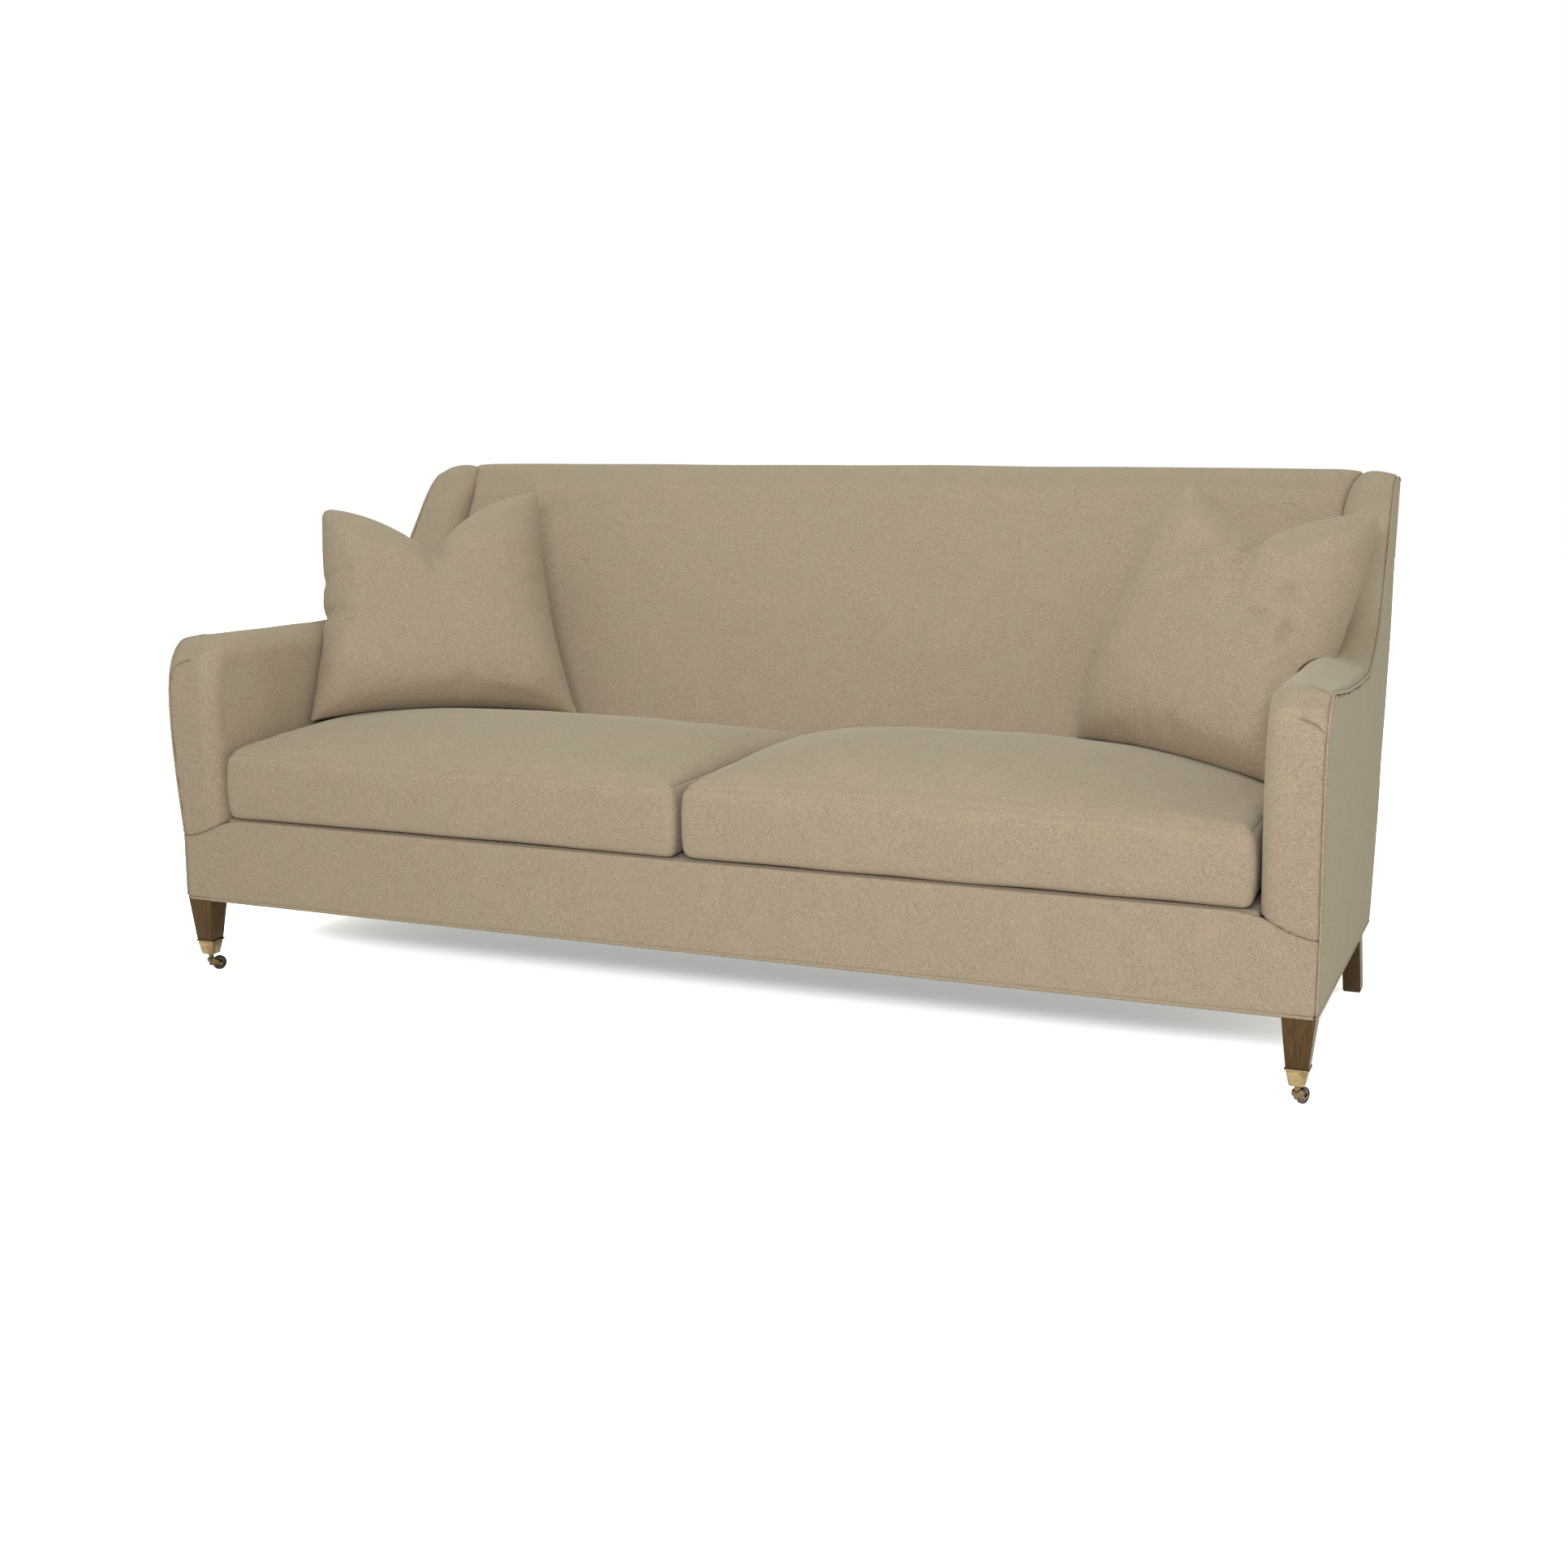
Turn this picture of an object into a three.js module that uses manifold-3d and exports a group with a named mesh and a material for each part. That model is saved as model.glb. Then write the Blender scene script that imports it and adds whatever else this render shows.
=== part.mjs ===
// A two-cushion sofa with low wings, on brass casters in front and splayed legs behind.
// Millimetres, +Z up, front towards -Y. Inside this file depth is counted from the front rail's
// cover towards the back, and the finished group is moved so that its origin is at the middle
// of the footprint, on the floor.
import * as THREE from 'three';
import { mergeVertices } from 'three/addons/utils/BufferGeometryUtils.js';
import Module from 'manifold-3d';

const wasm = await Module();
wasm.setup();

// Fits
const gap = 0.3;
const overrun = 80;
const weldDistance = 0.004;

// The whole sofa
const sofaWidth = 2100;
const backHeight = 950;
const backTopDepth = 1000;
const backBottomDepth = 685;
const baseBottom = 147;
const sideToeIn = 0.0175;

// Arms and wings
const armWidth = 95;
const armHeight = 643;
const armFrontSwell = 24;
const armFullestHeight = 520;
const armNoseDepth = 70;
const armRearDrop = 11;
const armInnerRound = 45;
const armOuterDrop = 16;
const armFrontRound = 38;
const wingStartDepth = 505;
const wingCrestRun = 57;
const wingWaistShares = [0.644, 0.5314];
const wingInnerRound = 32;
const wingOuterDrop = 12;
const coverThick = 3;
const armFoamThick = 22;

// Front rail cover, with its seam up to the arms
const borderThick = 10;
const borderTopDrop = 1;
const borderSeamDrop = 36;
const borderSeamRun = 137;

// Welts
const weltDiameter = 8;
const weltSides = 6;
const weltCornerRound = 14;
const weltJoinGap = 2;

// Inside back
const backFootThick = 146;
const backFootHeight = 430;
const backShoulderThick = 95.5;
const backShoulderDrop = 88;
const backCrestRun = 30;
const backRearDrop = 20;
const backCoverThick = 6;
const lumbarSwell = 12;

// Hardwood frame
const frameBottomRaise = 5;
const frameTopDrop = 5;
const railTopHeight = 270;
const railThick = 26;
const armPostWidth = 48;
const armPostDepth = 49;
const armPostDrop = 41;
const armRailHeight = 30;
const frameSideInset = 14;
const sideRailThick = 28;
const backPostWidth = 45;
const backFrameDepth = 60;
const backRailThick = 29;
const uprightThick = 28;
const uprightWidth = 50;
const topRailHeight = 62;
const lowerRailRaise = 70;
const lowerRailHeight = 60;
const stretcherX = 330;
const stretcherHeight = 80;
const cornerBlockLegLength = 90;
const cornerBlockHeight = 60;
const cornerBlockRaise = 5;
const wingBoardThick = 18;
const wingBoardInset = 22;

// Seat and back suspension
const springWire = 3.8;
const springSwing = 22;
const springSideRoom = 150;
const springPairs = 4;
const springHalfWaves = 12;
const springSides = 4;
const springEndRun = 16;
const tieWire = 2.4;
const clipFloor = 2;
const clipWall = 4;
const clipLength = 18;
const insulatorThick = 2;
const deckThick = 24;
const webbingThick = 1.5;
const webbingWidth = 50;
const webbingStrips = 5;
const webbingFirstRaise = 40;
const webbingTopDrop = 55;
const webbingUprightX = 480;
const dustCoverThick = 1.5;
const dustCoverInset = 12;

// Seat cushions
const cushionFront = -4;
const cushionRearGap = 4;
const cushionEdgeThick = 132;
const cushionCrown = 56;
const cushionEdgeRound = 26;
const cushionDraw = 5;
const cushionSideClearance = 3;
const cushionPartingX = -16;
const cushionPartingGap = 4;

// Throw pillows: how full each one is, and where its ears lie, from the lower left one round to the
// upper left one, as shares of the half width inside the arms, of the seat's depth and of the height
// from the cushion's seam to the top of the back
const pillowFullness = 150;
const pillowEdgeDraw = 26;
const pillowDip = 62;
const pillowCells = 14;
const pillowEarShares = {
  left: [[-0.972, 0.449, 0.032], [-0.529, 0.862, 0.034], [-0.717, 1.138, 0.878], [-1.031, 0.603, 0.829]],
  right: [[0.553, 0.843, 0.056], [0.945, 0.52, 0.032], [1.068, 0.923, 0.841], [0.704, 1.108, 0.949]],
};

// Front legs
const frontLegInsetX = 29.5;
const frontLegInsetY = 26.5;
const frontLegTopWidth = 47;
const frontLegRingWidth = 35;
const legShoulderGap = 0.5;
const legPlugInset = 7;

// Brass cups and casters
const cupWheelRoom = 7;
const cupHeight = 29;
const cupBottomWidth = 24.5;
const cupWall = 1.4;
const cupFloor = 2.5;
const cupRingOut = 1.8;
const cupRingHeight = 3.2;
const stemDiameter = 8;
const stemRise = 42;
const crownDiameter = 15;
const crownThick = 2.6;
const bossDiameter = 12.5;
const bossDrop = 14;
const wheelDiameter = 27;
const wheelWidth = 8;
const wheelEdgeRound = 2.4;
const casterTrail = 16;
const cheekThick = 2.2;
const cheekClearance = 0.5;
const cheekWidth = 11;
const axleDiameter = 4;
const axleClearance = 0.05;
const knobDiameter = 7;
const knobLength = 3.4;
const casterTurnDegrees = -26;
const roundSides = 16;
const wheelSides = 24;

// Rear legs, and the bolts of all the legs
const rearLegInsetX = 18;
const rearLegWidth = 32;
const rearLegInsetY = 3;
const rearLegDepth = 42;
const rearLegChamfer = 6;
const rearLegSplay = 70;
const boltDiameter = 8;
const boltRise = 48;
const frontBoltSink = 55;
const rearBoltSink = 35;
const rearBoltInsetX = 12;
const rearBoltInsetY = 28;

// Curves, as shares of the run from one end of a stretch to the other
const armFaceShares = [[0.42, 0.3], [1, 0.65]];
const armNoseShares = [[0, 0.65], [0.26, 1]];
const wingFootShares = [[0.31, 0], [0.78, 0.53]];
const wingCrestShares = [[0.235, 0.31], [0.575, 1]];
const crestRearShares = [[0.5, 0], [1, 0.3]];
const innerRoundShares = [[0, 0.6], [0.4, 1]];
const outerDropShares = [[0.4, 0], [0.85, 0.4]];
const seamShares = [[0.42, 0.12], [0.5, 1]];
const shoulderShares = [[0.27, 0.55], [0.6, 1]];
const turnInShares = [[0.55, 0], [1, 0.45]];
const turnOutShares = [[0, 0.55], [0.45, 1]];
const tieWireShares = [0.34, 0.66];
const curveSteps = 5;
const cornerSteps = 3;

const fabricLook = { color: 0xaf9e85, roughness: 0.95, metalness: 0 };
const foamLook = { color: 0xe8dfc4, roughness: 0.9, metalness: 0 };
const hardwoodLook = { color: 0xc9a271, roughness: 0.7, metalness: 0 };
const walnutLook = { color: 0x3d2817, roughness: 0.4, metalness: 0 };
const steelLook = { color: 0x8d9094, roughness: 0.4, metalness: 1 };
const brassLook = { color: 0x8f7640, roughness: 0.35, metalness: 1 };
const wheelLook = { color: 0x2b2620, roughness: 0.5, metalness: 0.6 };
const webbingLook = { color: 0x6b5f4d, roughness: 0.9, metalness: 0 };
const clothLook = { color: 0x1d1d1f, roughness: 0.95, metalness: 0 };

// Sizes worked out from the ones above
const halfWidth = sofaWidth / 2;
const frameBottom = baseBottom + frameBottomRaise;
const backRearHeight = backHeight - backRearDrop;
const frameTop = backRearHeight - frameTopDrop;
const backShoulderHeight = backHeight - backShoulderDrop;
const armRearHeight = armHeight - armRearDrop;
const armPostTop = armHeight - armPostDrop;
const lowerRailBottom = railTopHeight + lowerRailRaise;
const lowerRailTop = lowerRailBottom + lowerRailHeight;
const armInner = halfWidth - armWidth;
const weltRadius = weltDiameter / 2;
const coverBottom = baseBottom + weltRadius + gap;
const panelInner = halfWidth - weltDiameter;
const rake = (backTopDepth - backBottomDepth) / (backHeight - baseBottom);
const foamInset = coverThick + gap;
const cavityInset = foamInset + armFoamThick;
const postOuter = halfWidth - frameSideInset;
const backPostInner = postOuter - backPostWidth;
const armPostInner = postOuter - armPostWidth;
const armPostFront = borderThick + gap;
const armPostBack = armPostFront + armPostDepth;
const outsideBackTop = backRearHeight - gap;
const springHeight = railTopHeight + gap + clipFloor + gap + springWire / 2;
const insulatorBottom = springHeight + springWire / 2 + gap;
const deckBottom = insulatorBottom + insulatorThick + gap;
const deckTop = deckBottom + deckThick;
const cushionBottom = deckTop + gap;
const borderMiddleHeight = deckTop - borderTopDrop;
const borderEndHeight = borderMiddleHeight - borderSeamDrop;
const legTop = frameBottom - gap;
const legShoulderHeight = baseBottom - weltRadius - legShoulderGap;
const axleHeight = wheelDiameter / 2;
const cupBottom = wheelDiameter + cupWheelRoom;
const frontLegRingHeight = cupBottom + cupHeight;
const stemTop = cupBottom + stemRise;
const bossBottom = cupBottom - bossDrop;
const rearLegInner = halfWidth - rearLegInsetX - rearLegWidth;
const rearLegTopDepth = backBottomDepth - rearLegInsetY - rearLegDepth;
const boltTop = frameBottom + boltRise;
const frontBoltBottom = baseBottom - frontBoltSink;
const rearBoltBottom = baseBottom - rearBoltSink;

/** Depth of the outside back's face at a height. */
const rearAt = (z) => backBottomDepth + rake * (z - baseBottom);
/** Depth of the back frame's rear face at a height. */
const frameRearAt = (z) => rearAt(z) - backCoverThick - gap;
/** Depth of the back frame's front face at a height. */
const frameFrontAt = (z) => frameRearAt(z) - backFrameDepth;

const backFootDepth = rearAt(backFootHeight) - backFootThick;
const backShoulderDepth = rearAt(backShoulderHeight) - backShoulderThick;
const backRearDepth = rearAt(backRearHeight);
const cushionRear = backFootDepth - cushionRearGap;
const depthMiddle = (backRearDepth - armFrontSwell) / 2;

/** Turns a closed geometry into a solid that can be cut and joined. */
function solidOf(geometry) {
  const bare = geometry.clone();
  bare.deleteAttribute('normal');
  bare.deleteAttribute('uv');
  const merged = mergeVertices(bare, weldDistance);
  const mesh = new wasm.Mesh({
    numProp: 3,
    vertProperties: new Float32Array(merged.attributes.position.array),
    triVerts: new Uint32Array(merged.index.array),
  });
  mesh.merge();
  return new wasm.Manifold(mesh);
}

/** Turns a solid back into a geometry. */
function geometryOf(solid) {
  const { vertProperties, triVerts } = solid.getMesh();
  const geometry = new THREE.BufferGeometry();
  geometry.setAttribute('position', new THREE.BufferAttribute(new Float32Array(vertProperties), 3));
  geometry.setIndex(new THREE.BufferAttribute(new Uint32Array(triVerts), 1));
  geometry.computeVertexNormals();
  return geometry;
}

/** Keeps the largest of the bodies that a cut may have left. */
function largest(solid) {
  return solid.decompose().reduce((a, b) => (a.volume() > b.volume() ? a : b));
}

/** A geometry as it is, with only its positions and its index. */
function bareGeometry(geometry) {
  return geometryOf(solidOf(geometry));
}

/** A box between two corners. */
function box([x0, y0, z0], [x1, y1, z1]) {
  const geometry = new THREE.BoxGeometry(x1 - x0, y1 - y0, z1 - z0);
  geometry.translate((x0 + x1) / 2, (y0 + y1) / 2, (z0 + z1) / 2);
  return solidOf(geometry);
}

/** An outline pushed along one axis of the sofa, given by the axes of its two coordinates. */
function prism(outline, from, to, across, up, along, start) {
  const shape = new THREE.Shape(outline.map(([a, b]) => new THREE.Vector2(a, b)));
  const geometry = new THREE.ExtrudeGeometry(shape, { depth: to - from, bevelEnabled: false });
  const basis = new THREE.Matrix4().makeBasis(across, up, along);
  geometry.applyMatrix4(basis);
  geometry.translate(start.x, start.y, start.z);
  return solidOf(geometry);
}

const xAxis = new THREE.Vector3(1, 0, 0);
const yAxis = new THREE.Vector3(0, 1, 0);
const zAxis = new THREE.Vector3(0, 0, 1);

/** A side profile, in depth and height, pushed across the sofa. */
function acrossSofa(outline, x0, x1) {
  return prism(outline, x0, x1, yAxis, zAxis, xAxis, new THREE.Vector3(x0, 0, 0));
}

/** A front profile, in width and height, pushed from front to back. */
function alongDepth(outline, y0, y1) {
  const forwards = yAxis.clone().negate();
  return prism(outline, y0, y1, xAxis, zAxis, forwards, new THREE.Vector3(0, y1, 0));
}

/** A plan outline pushed upwards. */
function upwards(outline, z0, z1) {
  return prism(outline, z0, z1, xAxis, yAxis, zAxis, new THREE.Vector3(0, 0, z0));
}

/** An upright cylinder. */
function upright(x, y, z0, z1, diameter) {
  const geometry = new THREE.CylinderGeometry(diameter / 2, diameter / 2, z1 - z0, roundSides);
  geometry.rotateX(Math.PI / 2);
  geometry.translate(x, y, (z0 + z1) / 2);
  return solidOf(geometry);
}

/** A square frustum on an upright axis. */
function squareTaper(x, y, z0, width0, z1, width1) {
  const corner = Math.SQRT1_2;
  const geometry = new THREE.CylinderGeometry(width1 * corner, width0 * corner, z1 - z0, 4);
  geometry.rotateY(Math.PI / 4);
  geometry.rotateX(Math.PI / 2);
  geometry.translate(x, y, (z0 + z1) / 2);
  return solidOf(geometry);
}

/** Points on a curve from a to b, without a, whose two controls are shares of the run. */
function curveBetween(a, b, shares, steps = curveSteps) {
  const run = [b[0] - a[0], b[1] - a[1]];
  const controls = shares.map(([s, t]) => new THREE.Vector2(a[0] + run[0] * s, a[1] + run[1] * t));
  const curve = new THREE.CubicBezierCurve(new THREE.Vector2(...a), ...controls, new THREE.Vector2(...b));
  return curve.getPoints(steps).slice(1).map((p) => [p.x, p.y]);
}

/** The distance of a point from an open path. */
function distanceTo(path, point) {
  const target = new THREE.Vector3(...point, 0);
  const nearest = new THREE.Vector3();
  const distances = path.slice(1).map((end, i) => {
    const stretch = new THREE.Line3(new THREE.Vector3(...path[i], 0), new THREE.Vector3(...end, 0));
    return stretch.closestPointToPoint(target, true, nearest).distanceTo(target);
  });
  return Math.min(...distances);
}

/** Moves an open path to its right by a distance, mitred, leaving out what folds over itself. */
function shifted(path, distance) {
  const normals = path.slice(1).map(([x, y], i) => {
    const step = new THREE.Vector2(x - path[i][0], y - path[i][1]).normalize();
    return new THREE.Vector2(step.y, -step.x);
  });
  const moved = path.map(([x, y], i) => {
    const before = normals[Math.max(i - 1, 0)];
    const after = normals[Math.min(i, normals.length - 1)];
    const mitre = before.clone().add(after);
    mitre.multiplyScalar(2 * distance / mitre.lengthSq());
    return [x + mitre.x, y + mitre.y];
  });
  const least = Math.abs(distance) - weldDistance;
  return moved.filter((point) => distanceTo(path, point) > least);
}

/** The open side profile of an arm and its wing, from the base up and over to the outside back. */
function sidePath() {
  const seam = [0, borderEndHeight];
  const fullest = [-armFrontSwell, armFullestHeight];
  const nose = [armNoseDepth, armHeight];
  const foot = [wingStartDepth, armRearHeight];
  const crest = [backRearDepth - wingCrestRun, backHeight];
  const [waistShare, riseShare] = wingWaistShares;
  const waist = [
    THREE.MathUtils.lerp(foot[0], crest[0], waistShare),
    THREE.MathUtils.lerp(foot[1], crest[1], riseShare),
  ];
  const rear = [backRearDepth, backRearHeight];
  return [
    [0, coverBottom],
    seam,
    ...curveBetween(seam, fullest, armFaceShares),
    ...curveBetween(fullest, nose, armNoseShares),
    foot,
    ...curveBetween(foot, waist, wingFootShares),
    ...curveBetween(waist, crest, wingCrestShares),
    ...curveBetween(crest, rear, crestRearShares),
  ];
}

/** The closed side profile, drawn in by a distance; past says how far it runs out behind and below. */
function sideOutline(inset, past) {
  const path = shifted(sidePath(), inset);
  const [rearY, rearZ] = path[path.length - 1];
  const bottom = coverBottom - past;
  const closing = past > 0 ? [[rearY + past, rearZ]] : [];
  return [[path[0][0], bottom], ...path.slice(1), ...closing, [rearAt(bottom) + past, bottom]];
}

/** The open front profile of an arm or wing, from its inner foot up and over to its outer face. */
function sectionPath(top, innerRound, outerDrop) {
  const shoulder = [armInner, top - innerRound];
  const crown = [armInner + innerRound, top];
  const edge = [halfWidth, top - outerDrop];
  return [
    [armInner, coverBottom],
    shoulder,
    ...curveBetween(shoulder, crown, innerRoundShares),
    ...curveBetween(crown, edge, outerDropShares),
  ];
}

/** The closed front profile of an arm or wing, drawn in by a distance. */
function sectionOutline(top, innerRound, outerDrop, inset, past) {
  const path = shifted(sectionPath(top, innerRound, outerDrop), inset);
  const [, edgeZ] = path[path.length - 1];
  const bottom = coverBottom - past;
  const outer = halfWidth + past;
  return [[path[0][0], bottom], ...path.slice(1), [outer, edgeZ], [outer, bottom]];
}

/** The plan of an arm, which rounds its inner front corner. */
function planOutline(inset, past) {
  const front = -armFrontSwell;
  const nose = [armInner + armFrontRound, front];
  const cheek = [armInner, front + armFrontRound];
  const far = backTopDepth + past;
  const path = [
    [halfWidth + past, front],
    nose,
    ...curveBetween(nose, cheek, turnInShares),
    [armInner, far],
  ];
  return [...shifted(path, inset), [halfWidth + past, far]];
}

/** An arm with its wing, drawn in by a distance. */
function sideForm(inset, past) {
  const far = backTopDepth + overrun;
  const near = -armFrontSwell - overrun;
  const profile = acrossSofa(sideOutline(inset, past), armInner - overrun, halfWidth + past);
  const arm = alongDepth(sectionOutline(armHeight, armInnerRound, armOuterDrop, inset, past), near, far);
  const wing = alongDepth(sectionOutline(backHeight, wingInnerRound, wingOuterDrop, inset, past),
    wingStartDepth, far);
  const plan = upwards(planOutline(inset, past), coverBottom - overrun - past, backHeight + overrun);
  return profile.intersect(arm).intersect(plan).add(profile.intersect(wing));
}

/** The space of the back frame and the outside back, which all padding stays clear of. */
function rearZone() {
  const bottom = coverBottom - overrun;
  const far = backTopDepth + overrun;
  return acrossSofa([
    [frameFrontAt(bottom) - gap, bottom],
    [far, bottom],
    [far, backRearHeight],
    [frameRearAt(backRearHeight), backRearHeight],
    [frameRearAt(frameTop + gap), frameTop + gap],
    [frameFrontAt(frameTop + gap) - gap, frameTop + gap],
  ], -halfWidth - overrun, halfWidth + overrun);
}

/** Everything between the two sides that keeps a distance to the sofa's outer faces. */
function between(inset) {
  const near = -overrun;
  const far = backTopDepth + overrun;
  const edge = (y) => halfWidth - inset - sideToeIn * y;
  const outline = [[-edge(near), near], [edge(near), near], [edge(far), far], [-edge(far), far]];
  return upwards(outline, -overrun, backHeight + overrun);
}

/** The front profile of the front rail's cover. */
function borderOutline(grow) {
  const half = panelInner - gap + grow;
  const end = [half, borderEndHeight + grow];
  const middle = [half - borderSeamRun, borderMiddleHeight + grow];
  const seam = [end, ...curveBetween(end, middle, seamShares)];
  const mirrored = seam.map(([x, z]) => [-x, z]).reverse();
  const bottom = coverBottom - grow;
  return [[-half, bottom], [half, bottom], ...seam, ...mirrored];
}

/** A raked board or pad of the back, in depth and height, given by depths in front of the frame's rear. */
function rakedOutline(z0, z1, frontDepth, rearDepth) {
  return [
    [frameRearAt(z0) - frontDepth, z0],
    [frameRearAt(z0) - rearDepth, z0],
    [frameRearAt(z1) - rearDepth, z1],
    [frameRearAt(z1) - frontDepth, z1],
  ];
}

/** The open profile of the inside back, from the deck up and over to the outside back. */
function backPath() {
  const foot = [backFootDepth, backFootHeight];
  const shoulder = [backShoulderDepth, backShoulderHeight];
  const crest = [backRearDepth - backCrestRun, backHeight];
  const rear = [backRearDepth, backRearHeight];
  const run = shoulder[0] - foot[0];
  const pull = lumbarSwell / run;
  const faceShares = [[1 / 3 - pull, 1 / 3], [2 / 3 - pull, 2 / 3]];
  return [
    [backFootDepth, cushionBottom],
    foot,
    ...curveBetween(foot, shoulder, faceShares),
    ...curveBetween(shoulder, crest, shoulderShares),
    ...curveBetween(crest, rear, crestRearShares),
  ];
}

/** The closed profile of the inside back, drawn in by a distance. */
function backOutline(inset, past) {
  const path = shifted(backPath(), inset);
  const [rearY, rearZ] = path[path.length - 1];
  const bottom = cushionBottom - past;
  const closing = past > 0 ? [[rearY + past, rearZ]] : [];
  return [[path[0][0], bottom], ...path.slice(1), ...closing, [rearAt(bottom) + past, bottom]];
}

/** A run of straight stretches that a section is swept along, one ring at each point. */
class Run extends THREE.Curve {
  constructor(points) {
    super();
    this.points = points.map((p) => new THREE.Vector3(...p));
  }

  getPointAt(share) {
    return this.points[Math.round(share * (this.points.length - 1))].clone();
  }

  getTangentAt(share) {
    const i = Math.round(share * (this.points.length - 1));
    const before = this.points[Math.max(i - 1, 0)];
    const after = this.points[Math.min(i + 1, this.points.length - 1)];
    return after.clone().sub(before).normalize();
  }
}

/** A round cord or wire along a list of points. */
function sweep(points, diameter, sides) {
  const turn = 2 * Math.PI / sides;
  const ring = Array.from({ length: sides }, (_, i) => new THREE.Vector2(
    Math.cos(turn * i) * diameter / 2,
    Math.sin(turn * i) * diameter / 2,
  ));
  const geometry = new THREE.ExtrudeGeometry(new THREE.Shape(ring), {
    steps: points.length - 1,
    bevelEnabled: false,
    extrudePath: new Run(points),
  });
  return bareGeometry(geometry);
}

/** Slants a side piece so that it follows the toe-in of the sofa's side. */
function toedIn(geometry) {
  const slant = new THREE.Matrix4().set(1, -sideToeIn, 0, 0, 0, 1, 0, 0, 0, 0, 1, 0, 0, 0, 0, 1);
  return geometry.clone().applyMatrix4(slant);
}

/** The mirror image of a geometry across the middle of the sofa. */
function mirrored(geometry) {
  const copy = geometry.clone();
  copy.scale(-1, 1, 1);
  const { array } = copy.index;
  for (let i = 0; i < array.length; i += 3) {
    [array[i + 1], array[i + 2]] = [array[i + 2], array[i + 1]];
  }
  copy.computeVertexNormals();
  return copy;
}

const sofa = new THREE.Group();
const frameGroup = new THREE.Group();
frameGroup.position.y = -depthMiddle;
sofa.add(frameGroup);

/** Adds a named piece to the sofa. */
function piece(name, geometry, look) {
  const mesh = new THREE.Mesh(geometry, new THREE.MeshStandardMaterial(look));
  mesh.name = name;
  frameGroup.add(mesh);
  return mesh;
}

/** Adds a side piece on the right and its mirror image on the left. */
function pair(name, geometry, look) {
  piece(`${name}_right`, geometry, look);
  piece(`${name}_left`, mirrored(geometry), look);
}

/** The boards of the frame that run across the sofa, and the blocks in its corners. */
function addCrossBoards() {
  const betweenArmPosts = between(halfWidth - armPostInner + gap);
  const betweenBackPosts = between(halfWidth - backPostInner + gap);
  const frontRailBack = armPostFront + railThick;
  const frontRail = box([-halfWidth, armPostFront, frameBottom], [halfWidth, frontRailBack, railTopHeight]);
  piece('front_rail', geometryOf(frontRail.intersect(betweenArmPosts)), hardwoodLook);

  const acrossBack = (z0, z1) => acrossSofa(rakedOutline(z0, z1, backRailThick, 0), -halfWidth, halfWidth)
    .intersect(betweenBackPosts);
  piece('back_rail', geometryOf(acrossBack(frameBottom, railTopHeight)), hardwoodLook);
  const lowerRail = acrossBack(lowerRailBottom, lowerRailTop);
  piece('back_lower_rail', geometryOf(lowerRail), hardwoodLook);
  piece('back_top_rail', geometryOf(acrossBack(frameTop - topRailHeight, frameTop)), hardwoodLook);

  const uprightRear = backRailThick + gap;
  const uprightOutline = rakedOutline(frameBottom, frameTop, uprightRear + uprightThick, uprightRear);
  const upright = acrossSofa(uprightOutline, -uprightWidth / 2, uprightWidth / 2);
  piece('back_upright', geometryOf(upright), hardwoodLook);

  const stretcherOutline = [
    [frontRailBack + gap, frameBottom],
    [frameRearAt(frameBottom) - uprightRear, frameBottom],
    [frameRearAt(frameBottom + stretcherHeight) - uprightRear, frameBottom + stretcherHeight],
    [frontRailBack + gap, frameBottom + stretcherHeight],
  ];
  const stretcher = acrossSofa(stretcherOutline,
    stretcherX - sideRailThick / 2, stretcherX + sideRailThick / 2);
  pair('seat_stretcher', geometryOf(stretcher), hardwoodLook);

  const blockBottom = frameBottom + cornerBlockRaise;
  const blockTop = blockBottom + cornerBlockHeight;
  const cornerX = armPostInner - gap;
  const cornerY = frontRailBack + gap;
  const block = upwards([
    [cornerX, cornerY],
    [cornerX, cornerY + cornerBlockLegLength],
    [cornerX - cornerBlockLegLength, cornerY],
  ], blockBottom, blockTop);
  pair('corner_block', toedIn(geometryOf(block)), hardwoodLook);
}

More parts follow.
